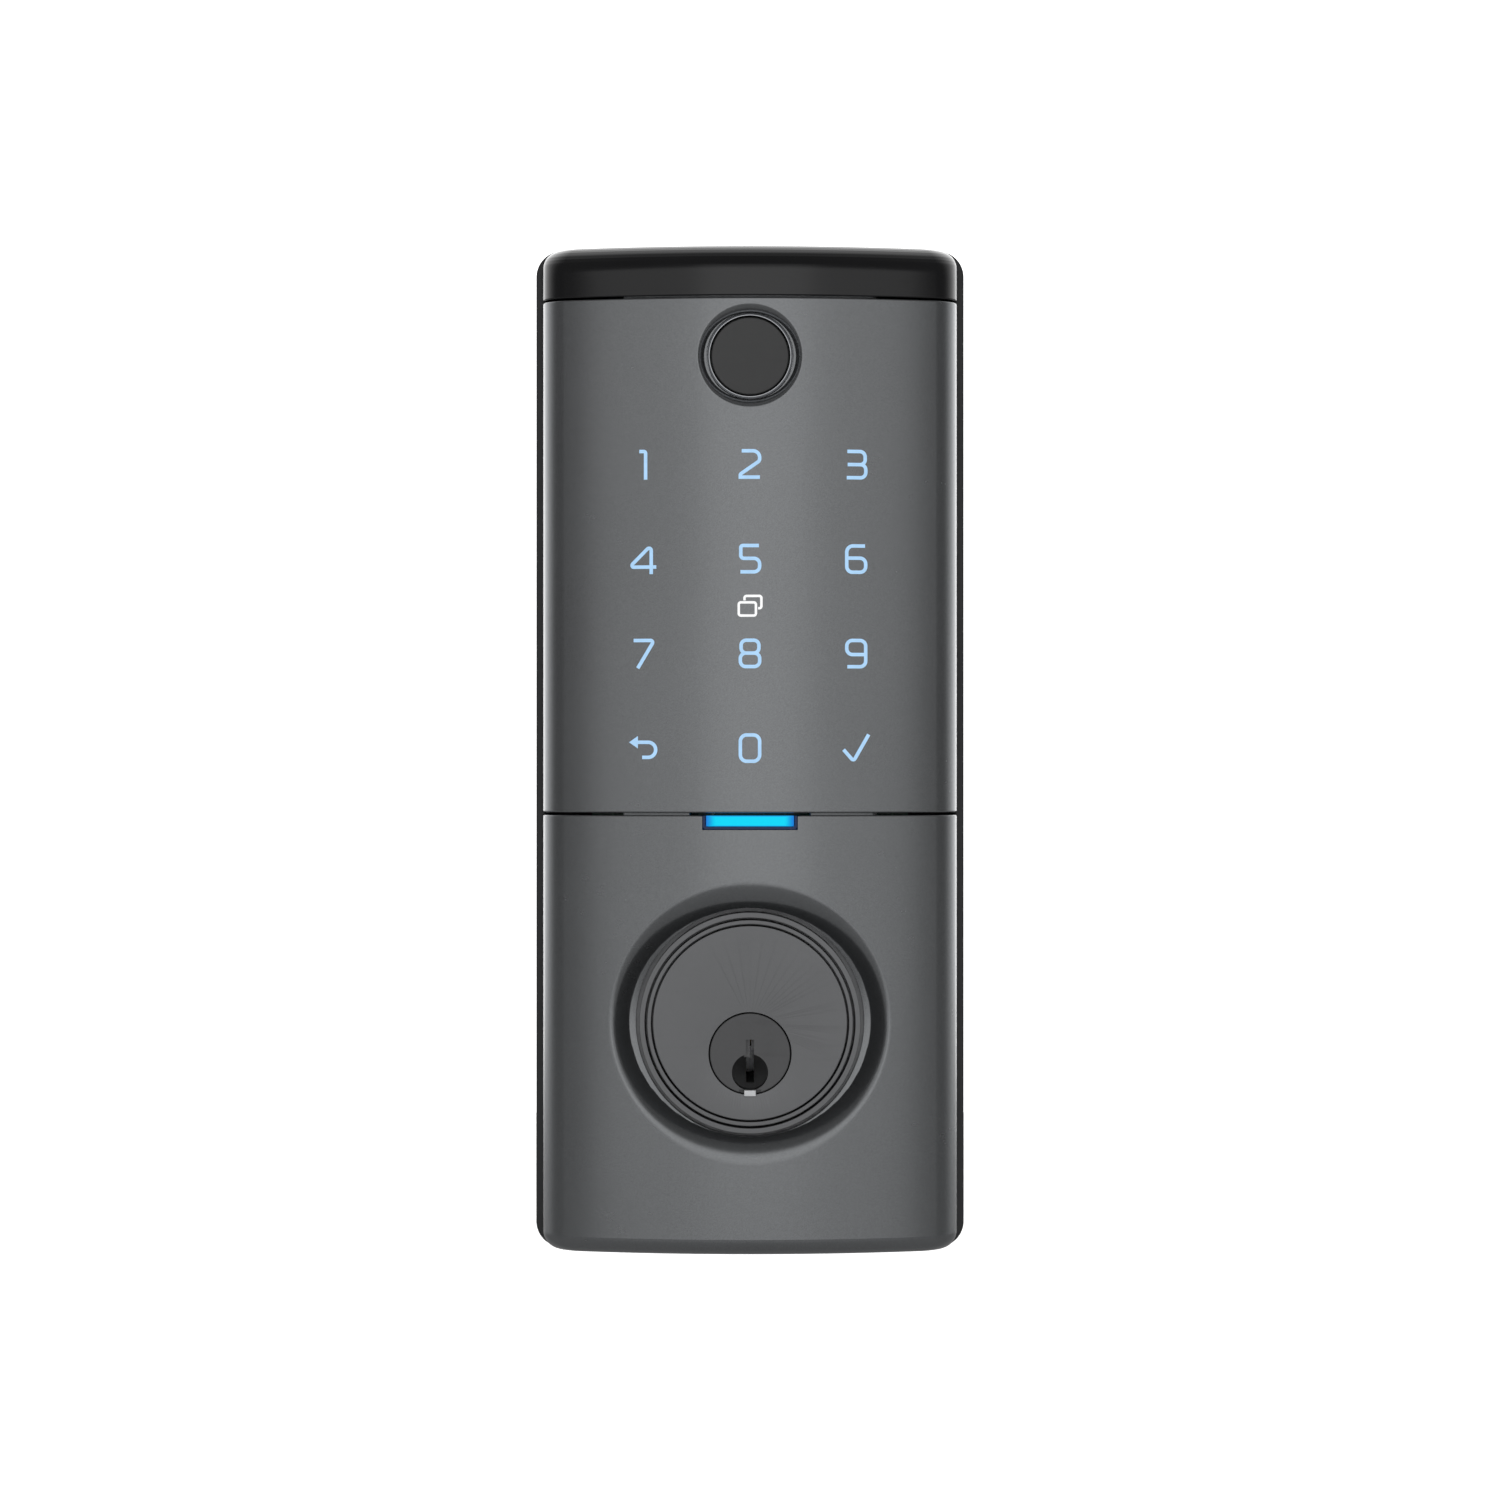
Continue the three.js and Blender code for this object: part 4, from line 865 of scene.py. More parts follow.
def dish_cutter(up, hole, depth, reach, start, steps=192, rise=26):
    """A cutter for a round dish whose wall rises from its floor and rolls over into the bow."""
    skim = 0.012  # the rim dips this far under the bow so that the two meet cleanly
    side_floor = 0.26  # share of the reach that stays flat at the dish's left and right
    side_ease = 0.5  # how much the wall's foot is rounded there
    lip = 0.8  # the cutter goes on past the rim by this much, leaning outwards
    lean = math.radians(7)
    ceiling = FAR / 8
    rim = hole + reach
    columns = []
    for k in range(steps):
        angle = ROUND * k / steps
        spread = math.cos(angle)
        floor = bow(rim * spread) - depth
        height = depth - skim
        drop = -rim * spread**2 / math.sqrt(size("bow_radius") ** 2 - (rim * spread) ** 2)
        share = 1.0 - side_floor * spread**2
        column = []
        for i in range(rise + 1):
            t = i / rise
            u = max(0.0, (t - 1 + share) / share)
            roll = 1 - (1 - u) ** 2
            roll = roll + side_ease * spread**2 * (u * u * (3 - 2 * u) - 1 + (1 - u) ** 2)
            swing = height * roll + reach * share * drop * u * u * (u - 1)
            swing += reach * start * t * (1 - t) ** 2
            column.append((hole + reach * t, floor + swing))
        run = math.atan(drop) + lean
        column.append((rim + lip * math.cos(run), column[-1][1] + lip * math.sin(run)))
        column.append((column[-1][0], ceiling))
        columns.append([spot(r * spread, up + r * math.sin(angle), y) for r, y in column])
    rings = [[column[i] for column in columns] for i in range(len(columns[0]))]
    return skin([[spot(0.0, up, crown() - depth)], *rings, [spot(0.0, up, ceiling)]])


# ---------------------------------------------------------------- operators


class LockOperator:
    """Runs a step's build, which raises an error if it can't finish."""

    bl_options = {"REGISTER", "UNDO"}

    def execute(self, context):
        self.build()
        return {"FINISHED"}


class BuildTopCap(LockOperator, bpy.types.Operator):
    """Builds the gloss black cap over the keypad panel"""

    bl_idname = "lock.top_cap"
    bl_label = "Top Cap"

    def build(self):
        low = extent("top_cap")[2]
        piece("top_cap_visual", front_shell("top_cap", low_seam=low), "gloss_black", "top_cap")


class BuildKeypadPanel(LockOperator, bpy.types.Operator):
    """Builds the touch keypad's panel with the fingerprint reader's dish"""

    bl_idname = "lock.keypad_panel"
    bl_label = "Keypad Panel"

    def build(self):
        low = extent("keypad_panel")[2]
        high = extent("top_cap")[2] - size("cap_seam")
        x, up = middle("fingerprint_ring")
        opening = finger_opening()
        reach = size("finger_dish_reach")
        seat_width, seat_depth, hole_depth = 1.9, 4.1, 6.0  # around the reader
        seat = rod(x, up, opening + seat_width, crown() - seat_depth, crown())
        shell = joined(
            front_shell("keypad_panel", low, high), within(seat, inside_front())
        )
        shell = cut(
            shell,
            dish_cutter(up, opening, size("finger_dish_depth"), reach, start=0.1),
            rod(x, up, opening, crown() - hole_depth, crown() + 1.0, steps=144),
        )
        piece("keypad_panel_visual", shell, "satin_grey_paint", "keypad_panel")


def finger_opening():
    """Radius of the fingerprint reader's hole."""
    left, right, _, _, _, _ = extent("fingerprint_ring")
    flange_width = 1.4
    return (right - left) / 2 - flange_width


class BuildLowerCover(LockOperator, bpy.types.Operator):
    """Builds the lower cover with the key cylinder's dish and the notch for the light bar"""

    bl_idname = "lock.lower_cover"
    bl_label = "Lower Cover"

    def build(self):
        high = extent("keypad_panel")[2] - size("seam")
        up = middle("collar_trim_ring")[1]
        opening, reach = collar_radius() + size("dish_gap"), size("dish_reach")
        flange_room, bowl_margin, notch_gap = 1.6, 0.9, 0.12
        back = extent("cylinder_collar")[4] + flange_room
        outside = opening + reach + bowl_margin
        bowl = rod(0.0, up, outside, back, crown(), steps=144)
        shell = joined(
            front_shell("lower_cover", high_seam=high), within(bowl, inside_front())
        )
        left, right, _, _, _, _ = extent("light_bar_bezel")
        left, right, low = left - notch_gap, right + notch_gap, bezel_low() - notch_gap
        shell = cut(
            shell,
            dish_cutter(up, opening, size("dish_depth"), reach, start=0.05),
            rod(0.0, up, opening, back - 2.0, crown() + 1.0, steps=192),
            block(left, right, low, high + 2.0, 18.0, 30.0),
        )
        piece("lower_cover_visual", shell, "satin_grey_paint", "lower_cover")


def collar_radius():
    """Outer radius of the collar's visible rim."""
    return extent("collar_trim_ring")[1] + GAP + size("collar_width")


# Strokes of each key symbol: corners to the right of and above its middle, with rounding radii,
# in millimetres. A stroke marked True is a closed loop.
LEGENDS = {
    "1": [(False, (-0.7, 2.07), (0.29, 2.07, 0.32), (0.29, -2.37))],
    "2": [(False, (-1.3, 2.07), (1.52, 2.07, 1.05), (1.52, 0.5, 0.7), (-1.52, -1.6, 0.35),
           (-1.52, -2.07), (1.55, -2.07))],
    "3": [(False, (-1.4, 2.07), (1.42, 2.07, 0.85), (1.42, 0.0, 0.8), (-1.35, 0.0)),
          (False, (0.4, 0.0), (1.52, 0.0, 0.8), (1.52, -2.07, 0.85), (-1.5, -2.07))],
    "4": [(False, (1.18, -2.37), (1.18, 2.2, 0.35), (-1.95, -0.95, 0.33), (-1.72, -1.26, 0.2),
           (1.98, -1.26))],
    "5": [(False, (1.4, 2.07), (-1.45, 2.07, 0.35), (-1.45, 0.05, 0.5), (1.52, 0.05, 0.9),
           (1.52, -2.07, 0.9), (-1.5, -2.07))],
    "6": [(False, (1.4, 2.07), (-1.5, 2.07, 1.0), (-1.5, -2.07, 0.9), (1.5, -2.07, 0.9),
           (1.5, 0.15, 0.9), (-1.5, 0.15))],
    "7": [(False, (-1.6, 2.07), (1.65, 2.07, 0.33), (-0.95, -2.3))],
    "8": [(True, (-1.4, 0.05, 0.8), (1.4, 0.05, 0.8), (1.4, 2.07, 0.8), (-1.4, 2.07, 0.8)),
          (True, (-1.52, -2.07, 0.85), (1.52, -2.07, 0.85), (1.52, 0.05, 0.85),
           (-1.52, 0.05, 0.85))],
    "9": [(False, (-1.4, -2.07), (1.5, -2.07, 0.9), (1.5, 2.07, 0.9), (-1.5, 2.07, 0.9),
           (-1.5, -0.15, 0.9), (1.5, -0.15))],
    "0": [(True, (-1.52, -2.07, 1.0), (1.52, -2.07, 1.0), (1.52, 2.07, 1.0), (-1.52, 2.07, 1.0))],
    "check": [(False, (-2.0, -0.25), (-0.42, -2.05, 0.32), (1.98, 2.15))],
    "back": [(False, (-1.6, 0.92), (1.88, 0.92, 1.18), (1.88, -1.46, 1.18), (-0.25, -1.46))],
}
ARROW_HEAD = ((-2.33, 0.92), (-0.93, 1.9), (-0.93, -0.06))
KEY_ROWS = (("back", "0", "check"), ("7", "8", "9"), ("4", "5", "6"), ("1", "2", "3"))
CARDS = (
    (True, (-1.77, -1.6, 0.34), (0.93, -1.6, 0.34), (0.93, 0.48, 0.34), (-1.77, 0.48, 0.34)),
    (False, (-0.87, 0.78), (-0.87, 1.49, 0.34), (1.79, 1.49, 0.34), (1.79, -0.45, 0.34),
     (1.28, -0.45)),
)


INK_HALF = 0.3  # half the depth that a symbol is drawn with before it is laid on the front
INK_UNDER = 0.06  # how far its back lies under the paint


def ribbon(stroke, width):
    """A flat bar of some width along a stroke, a little thicker than it will show."""
    closed, *corners = stroke
    line = [Vector(point) for point in soften(corners, 8, closed)]
    count = len(line)
    sides = []
    for i, point in enumerate(line):
        before = line[i - 1] if closed or i > 0 else point
        after = line[(i + 1) % count] if closed or i < count - 1 else point
        way_in = (point - before).normalized() if before != point else None
        way_out = (after - point).normalized() if after != point else None
        along = ((way_in or way_out) + (way_out or way_in)).normalized()
        across = Vector((-along.y, along.x))
        before_corner = way_in or along
        sharpest = 0.4  # keeps a sharp corner from growing a spike
        lean = across.dot(Vector((-before_corner.y, before_corner.x)))
        stretch = 1.0 / max(lean, sharpest)
        sides.append((point + across * width / 2 * stretch, point - across * width / 2 * stretch))
    rings = [
        [spot(a.x, a.y, -INK_HALF), spot(b.x, b.y, -INK_HALF),
         spot(b.x, b.y, INK_HALF), spot(a.x, a.y, INK_HALF)]
        for a, b in sides
    ]
    return skin(rings, closed)


def triangle(corners):
    return skin([[spot(x, up, forward) for x, up in corners] for forward in (-INK_HALF, INK_HALF)])


def legend(strokes, width, x, up):
    """A symbol laid on the bowed front, its back just under the paint."""
    first, *rest = [ribbon(stroke, width) for stroke in strokes]
    symbol = joined(first, *rest)
    if strokes is LEGENDS["back"]:
        symbol = joined(symbol, triangle(ARROW_HEAD))
    return laid(symbol, x, up)


def laid(symbol, x, up):
    """Moves a flat symbol to its place and bends it to the front's curve."""
    work = bmesh.new()
    work.from_mesh(symbol)
    bmesh.ops.triangulate(work, faces=[f for f in work.faces if len(f.verts) > 4])
    for vertex in work.verts:
        shift = size("legend_rise") if vertex.co.y < 0 else -INK_UNDER
        at_x, at_up = x + vertex.co.x, up + vertex.co.z
        vertex.co = spot(at_x, at_up, bow(at_x) + shift)
    work.to_mesh(symbol)
    work.free()
    return symbol


def together(meshes):
    """Several separate solids as one mesh."""
    work = bmesh.new()
    for mesh in meshes:
        work.from_mesh(mesh)
    whole = bpy.data.meshes.new("whole")
    work.to_mesh(whole)
    work.free()
    return whole


def key_places():
    """Where each key symbol's middle is, across and up."""
    _, _, low, high, _, _ = extent("light_guide")
    margin = size("guide_margin")
    low, high = low + margin, high - margin
    for row, symbols in enumerate(KEY_ROWS):
        up = low + (high - low) * row / (len(KEY_ROWS) - 1)
        for column, symbol in enumerate(symbols):
            yield symbol, (column - 1) * size("key_pitch"), up


class BuildLegends(LockOperator, bpy.types.Operator):
    """Lays the lit digits, arrow, check mark and card symbol on the keypad panel"""

    bl_idname = "lock.legends"
    bl_label = "Key Legends"

    def build(self):
        width = size("stroke")
        keys = [legend(LEGENDS[key], width, x, up) for key, x, up in key_places()]
        ink = lit_ink("lit_legends", tuple(finishes().legends), 0.95)
        piece("key_legends", together(keys), None, finish=ink)
        rows = sorted({up for _, _, up in key_places()})
        card_stroke, card_rise = 0.7, 0.1  # thinner, and just above the rows' middle
        cards = legend(CARDS, width * card_stroke, 0.0, (rows[1] + rows[2]) / 2 + card_rise)
        white = lit_ink("white_legend", (1.0, 1.0, 1.0, 1.0), 0.98)
        piece("card_legend", cards, None, finish=white)


class BuildFingerprintReader(LockOperator, bpy.types.Operator):
    """Builds the fingerprint sensor, its bright ring and the holder behind it"""

    bl_idname = "lock.fingerprint_reader"
    bl_label = "Fingerprint Reader"

    def build(self):
        x, up = middle("fingerprint_ring")
        _, flange, _, _, back, front = extent("fingerprint_ring")
        opening = finger_opening()
        flange_depth = 1.1
        outer, inner = opening - 0.15, opening - 0.55
        profile = [
            (inner, back), (flange, back, 0.1), (flange, back + flange_depth, 0.1),
            (outer, back + flange_depth), (outer, front - 0.2), (inner + 0.14, front, 0.05),
            (inner, front, 0.05),
        ]
        ring = turned(soften(profile, 4), x, up, closed=True)
        piece("fingerprint_ring_visual", ring, "ring_silver", "fingerprint_ring")
        _, _, _, _, back, front = extent("fingerprint_sensor")
        radius, edge = inner - 0.2, 0.25
        crowned = [(0.0, back), (radius, back)]
        crowned += arc(radius - edge, front - edge, edge, 0.0, QUARTER, 5) + [(0.0, front)]
        piece("fingerprint_sensor_visual", turned(crowned, x, up), "sensor_dark",
              "fingerprint_sensor")
        refined("fingerprint_holder", "matt_black", 0.2)
        refined("fingerprint_board", "circuit_board", CIRCUIT_EDGE)


def lens_window():
    """Limits of the lit window in the light bar's frame."""
    left, right, _, high, _, _ = extent("light_bar_bezel")
    side_gap, low_gap = 0.15, 0.05
    width = size("bezel_width") + side_gap
    return left + width, right - width, bezel_low() + width - low_gap, high


def bezel_low():
    """Lower edge of the light bar's frame, a little above the frame's box."""
    raised = 0.22
    return extent("light_bar_bezel")[2] + raised


class BuildLightBar(LockOperator, bpy.types.Operator):
    """Builds the status light's lens, frame and board"""

    bl_idname = "lock.light_bar"
    bl_label = "Light Bar"

    def build(self):
        left, right, low, high = lens_window()
        back = extent("light_bar_lens")[4]
        lens_sunk, rim_sunk, flange_depth = 0.15, 0.1, 1.55
        ahead = 40.0  # in front of the lock
        window = slab(left, right, low, high + 1.0, 0.3, back + 0.6, ahead, steps=5)
        window = within(window, block(left - 1, right + 1, low - 1, high, back, ahead))
        behind = block(-FAR, FAR, -FAR, FAR, 0.0, back + flange_depth)
        flange = within(carried("light_bar_lens"), behind)
        lens = joined(within(window, front_body(lens_sunk, back=0.0)), flange)
        piece("light_bar_lens_visual", lens, "lens_cyan", "light_bar_lens")
        left, right, _, high, back, _ = extent("light_bar_bezel")
        low, width = bezel_low(), size("bezel_width")
        rim = slab(left, right, low, high + 1.0, 0.45, back, ahead, steps=5)
        rim = within(rim, block(left - 1, right + 1, low - 1, high, back, ahead))
        hole = slab(
            left + width, right - width, low + width, high + 2.0, 0.35, back - 1, ahead + 1, steps=5
        )
        rim = cut(within(rim, front_body(rim_sunk, back=0.0)), hole)
        piece("light_bar_bezel_visual", rim, "bezel_blue", "light_bar_bezel")
        refined("light_bar_board", "circuit_board", CIRCUIT_EDGE)


class BuildRearCase(LockOperator, bpy.types.Operator):
    """Builds the dark case behind the front"""

    bl_idname = "lock.rear_case"
    bl_label = "Rear Case"

    def build(self):
        left, right, low, high, back, inside = extent("rear_case")
        front = size("parting") - GAP / 2
        corner = size("case_corner")
        outer = slab(left, right, low, high, corner, back, front, size("case_round"))
        rim, overlap = 1.2, 0.3
        hollow = slab(left + rim, right - rim, low + rim, high - rim, corner - rim, back - 1, 40.0)
        thin = rim - overlap
        core = slab(
            left + thin, right - thin, low + thin, high - thin, corner - thin, 0.0, inside + 5
        )
        case = joined(cut(outer, hollow), within(carried("rear_case"), core))
        flap_left, flap_right, flap_low, _, flap_back, flap_front = extent("usb_cover")
        barrel = 0.9  # radius of the flap's hinge
        x0, x1 = flap_left - GAP, flap_right + GAP
        hinge_up, hinge_forward = flap_low + barrel, flap_back + barrel
        case = cut(
            case,
            block(x0, x1, low - 1, low + 1.5, hinge_forward, flap_front + GAP),
            block(x0, x1, low - 1, hinge_up, flap_back - GAP, hinge_forward + 1),
            bar(x0, x1, hinge_up, hinge_forward, barrel + GAP),
        )
        piece("rear_case_visual", case, "matt_black", "rear_case")
        refined("cable_grommet", "black_rubber", 0.25)


class BuildKeyCylinder(LockOperator, bpy.types.Operator):
    """Builds the cylinder's face and body, its collar and its trim ring"""

    bl_idname = "lock.key_cylinder"
    bl_label = "Key Cylinder"

    def build(self):
        up = middle("collar_trim_ring")[1]
        edge = size("machined_round")
        _, trim, _, _, face_back, front = extent("collar_trim_ring")
        _, face, _, _, _, _ = extent("cylinder_body")
        _, flange, _, _, flange_back, _ = extent("cylinder_collar")
        outer = collar_radius()
        inner = outer - size("collar_width")
        lip = face - 0.35
        flange_front = flange_back + 1.3
        profile = [
            (lip, flange_back), (flange, flange_back, 0.15), (flange, flange_front, 0.15),
            (outer, flange_front), (outer, front, edge), (inner, front, edge),
            (inner, face_back - GAP), (lip, face_back - GAP),
        ]
        barrel = 9.25  # radius of the hole for the cylinder's body
        collar = cut(
            turned(soften(profile, 4), 0.0, up, 192, closed=True),
            rod(0.0, 0.0, barrel, flange_back - 1, face_back),
        )
        piece("cylinder_collar_visual", collar, "cylinder_grey", "cylinder_collar")
        ring = pipe(0.0, up, face + GAP, trim, face_back, front, edge, 192)
        piece("collar_trim_ring_visual", ring, "cylinder_grey", "collar_trim_ring")
        split = face_back + 0.4
        disc_wider, head_play, head_seat = 0.07, 0.2, 2.6
        disc = rod(0.0, up, face + disc_wider, split, front, edge, 192)
        _, head, _, _, _, _ = extent("plug")
        disc = cut(
            disc,
            rod(0.0, 0.0, head + head_play, front - head_seat, front + 1, steps=144),
            rod(0.0, 0.0, head - 0.1, split - 1, front, steps=144),
        )
        behind = within(carried("cylinder_body"), block(-FAR, FAR, -FAR, FAR, -FAR, front - 0.5))
        piece("cylinder_body_visual", joined(disc, behind), "cylinder_grey", "cylinder_body")


PIN_NUMBERS = range(1, 6)


class BuildPlug(LockOperator, bpy.types.Operator):
    """Builds the turning plug with its keyway, its index tab and the cap behind it"""

    bl_idname = "lock.plug"
    bl_label = "Plug"

    def build(self):
        _, head, _, _, back, front = extent("plug")
        shank, shoulder = head - 0.3, front - 2.3
        half = size("keyway_width") / 2
        slot_low, slot_high = -4.9, 2.2
        profile = [
            (0.0, back), (shank, back, 0.2), (shank, shoulder), (head, shoulder),
            (head, front, 0.16), (0.0, front),
        ]
        body = turned(soften(profile, 4, closed=False))
        chamber, chamber_low, chamber_high = 1.6, 0.7, 9.0
        bore = [
            (0.0, chamber_low), (0.5, chamber_low), (chamber, 1.7), (chamber, chamber_high),
            (0.0, chamber_high),
        ]
        chambers = [upright(bore, middle_forward(f"key_pin_{i}")) for i in PIN_NUMBERS]
        slot = soften(
            [(-half, slot_low), (half, slot_low), (half, slot_high, 0.12),
             (-half, slot_high, 0.12)],
            3,
        )
        hole_radius, hole_up, hole_deep, hole_tip = 2.85, -2.95, 4.2, 6.0
        drilled = turned(
            [(0.0, front - hole_tip), (hole_radius, front - hole_deep), (hole_radius, front + 1),
             (0.0, front + 1)],
            0.0, hole_up, 72,
        )
        keyway = skin([[spot(x, z, y) for x, z in slot] for y in (back - 1, front + 1)])
        tab_half = 1.7
        tab_seat = block(-tab_half, tab_half, -head - 1, -head + 0.7, front - 1.2, front + 1)
        body = cut(body, keyway, drilled, tab_seat, *chambers)
        rooted, ward_high, ward_back = 0.3, 2.4, front - 3.8  # wards reach into the slot's sides
        left_ward = block(-half - rooted, -0.02, -0.6, ward_high, ward_back, front - 0.9)
        right_ward = block(0.2, half + rooted, 0.6, ward_high, ward_back, front - 1.6)
        body = joined(body, left_ward, right_ward)
        piece("plug_visual", body, "plug_grey", "plug", body="plug")
        refined("keyway_tab", "tab_silver", 0.07, "plug")
        refined("plug_cap", "brass", 0.15, "plug")


def middle_forward(node_name):
    """Centre of a CAD node forward of the door, in millimetres."""
    _, _, _, _, back, front = extent(node_name)
    return (back + front) / 2


def spring_tree():
    """Geometry nodes of a coil spring, standing on each point."""
    tree, given, result = new_group(
        "Pin Spring",
        [("Geometry", "NodeSocketGeometry", None), ("Coil Radius", FLOAT, 0.95),
         ("Wire Radius", FLOAT, 0.2), ("Height", FLOAT, 5.7), ("Turns", FLOAT, 4.5),
         ("Material", "NodeSocketMaterial", None)],
        [("Geometry", "NodeSocketGeometry")],
        "GeometryNodeTree",
    )
    coil = node(
        tree,
        "GeometryNodeCurveSpiral",
        {"Resolution": 36, "Rotations": given["Turns"], "Start Radius": given["Coil Radius"],
         "End Radius": given["Coil Radius"], "Height": given["Height"]},
    )
    wire = node(
        tree, "GeometryNodeCurvePrimitiveCircle", {"Resolution": 12, "Radius": given["Wire Radius"]}
    )
    swept = node(
        tree,
        "GeometryNodeCurveToMesh",
        {"Curve": coil.outputs[0], "Profile Curve": wire.outputs[0], "Fill Caps": True},
    )
    placed = node(
        tree,
        "GeometryNodeInstanceOnPoints",
        {"Points": given["Geometry"], "Instance": swept.outputs[0]},
    )
    finish_tree(tree, placed.outputs[0], given["Material"], result)
    return tree


def finish_tree(tree, geometry, chosen, result):
    """Ends a geometry tree with real meshes that have their material."""
    real = node(tree, "GeometryNodeRealizeInstances", {"Geometry": geometry}).outputs[0]
    dressed = node(tree, "GeometryNodeSetMaterial", {"Geometry": real, "Material": chosen})
    tree.links.new(dressed.outputs[0], result["Geometry"])


def screw_tree():
    """Geometry nodes of cross-recessed pan-head screws driven forward at each point."""
    tree, given, result = new_group(
        "Screws",
        [("Geometry", "NodeSocketGeometry", None), ("Head Radius", FLOAT, 2.5),
         ("Head Height", FLOAT, 1.2), ("Shank Radius", FLOAT, 1.2), ("Length", FLOAT, 9.0),
         ("Pitch", FLOAT, 0.8), ("Recess Width", FLOAT, 0.62), ("Seed", "NodeSocketInt", 0),
         ("Material", "NodeSocketMaterial", None)],
        [("Geometry", "NodeSocketGeometry")],
        "GeometryNodeTree",
    )

    def raised(mesh, up, turn=0.0):
        place = node(tree, "ShaderNodeCombineXYZ", {2: up}).outputs[0]
        return node(
            tree,
            "GeometryNodeTransform",
            {"Geometry": mesh, "Translation": place, "Rotation": (0.0, 0.0, turn)},
        ).outputs[0]

    def combined(operation, first, *others):
        made = node(tree, "GeometryNodeMeshBoolean", operation=operation, solver="EXACT")
        if operation == "DIFFERENCE":
            tree.links.new(first, made.inputs["Mesh 1"])
            others_in = others
        else:
            others_in = (first, *others)
        for other in others_in:
            tree.links.new(other, made.inputs["Mesh 2"])
        return made.outputs["Mesh"]

    half_head = calculate(tree, "MULTIPLY", given["Head Height"], 0.5)
    rim = node(
        tree,
        "GeometryNodeMeshCylinder",
        {"Vertices": 40, "Radius": given["Head Radius"], "Depth": half_head},
    ).outputs[0]
    rim = raised(rim, calculate(tree, "MULTIPLY", given["Head Height"], -0.25))
    dome = node(
        tree,
        "GeometryNodeMeshCone",
        {"Vertices": 40, "Radius Bottom": calculate(tree, "MULTIPLY", given["Head Radius"], 0.75),
         "Radius Top": given["Head Radius"], "Depth": half_head},
    ).outputs[0]
    dome = raised(dome, calculate(tree, "MULTIPLY", given["Head Height"], -1.0))
    tip = 1.0
    straight = calculate(tree, "SUBTRACT", given["Length"], tip)
    shank = node(
        tree,
        "GeometryNodeMeshCylinder",
        {"Vertices": 32, "Radius": calculate(tree, "MULTIPLY", given["Shank Radius"], 0.84),
         "Depth": calculate(tree, "ADD", straight, 0.2)},
    ).outputs[0]
    shank = raised(shank, calculate(tree, "MULTIPLY_ADD", straight, 0.5, -0.1))
    point = node(
        tree,
        "GeometryNodeMeshCone",
        {"Vertices": 32, "Radius Bottom": calculate(tree, "MULTIPLY", given["Shank Radius"], 0.84),
         "Radius Top": calculate(tree, "MULTIPLY", given["Shank Radius"], 0.3), "Depth": tip},
    ).outputs[0]
    point = raised(point, straight)
    turns = calculate(tree, "DIVIDE", calculate(tree, "SUBTRACT", straight, 0.6), given["Pitch"])
    helix = node(
        tree,
        "GeometryNodeCurveSpiral",
        {"Resolution": 24, "Rotations": turns,
         "Start Radius": calculate(tree, "MULTIPLY", given["Shank Radius"], 0.86),
         "End Radius": calculate(tree, "MULTIPLY", given["Shank Radius"], 0.86),
         "Height": calculate(tree, "SUBTRACT", straight, 0.6)},
    )
    ridge = node(
        tree,
        "GeometryNodeCurvePrimitiveCircle",
        {"Resolution": 4, "Radius": calculate(tree, "MULTIPLY", given["Shank Radius"], 0.14)},
    )
    thread = node(
        tree,
        "GeometryNodeCurveToMesh",
        {"Curve": helix.outputs[0], "Profile Curve": ridge.outputs[0], "Fill Caps": True},
    ).outputs[0]
    thread = raised(thread, 0.3)
    reach = calculate(tree, "MULTIPLY", given["Head Radius"], 1.05)
    depth = calculate(tree, "MULTIPLY", given["Head Height"], 1.3)
    arm = node(
        tree, "ShaderNodeCombineXYZ", {0: reach, 1: given["Recess Width"], 2: depth}
    ).outputs[0]
    recess = node(tree, "GeometryNodeMeshCube", {"Size": arm}).outputs[0]
    outside = calculate(tree, "MULTIPLY", given["Head Height"], -1.1)
    head = combined("UNION", rim, dome, shank, point)
    head = combined("DIFFERENCE", head, raised(recess, outside), raised(recess, outside, QUARTER))
    whole = node(tree, "GeometryNodeJoinGeometry")
    for part in (head, thread):
        tree.links.new(part, whole.inputs[0])
    spin = node(
        tree, "FunctionNodeRandomValue", {2: 0.0, 3: ROUND, "Seed": given["Seed"]},
        data_type="FLOAT",
    ).outputs[1]
    driven = node(tree, "ShaderNodeCombineXYZ", {0: QUARTER, 1: spin}).outputs[0]
    placed = node(
        tree,
        "GeometryNodeInstanceOnPoints",
        {"Points": given["Geometry"], "Instance": whole.outputs[0], "Rotation": driven},
    )
    finish_tree(tree, placed.outputs[0], given["Material"], result)
    return tree


def grown(tree, points, values):
    """What a geometry tree makes on some points, as a plain mesh."""
    base = bpy.data.meshes.new("points")
    base.from_pydata(points, [], [])
    holder = in_scene("points", base)
    modifier = holder.modifiers.new(tree.name, "NODES")
    modifier.node_group = tree
    for item in tree.interface.items_tree:
        if item.in_out == "INPUT" and item.name in values:
            modifier[item.identifier] = values[item.name]
    return evaluated(holder)


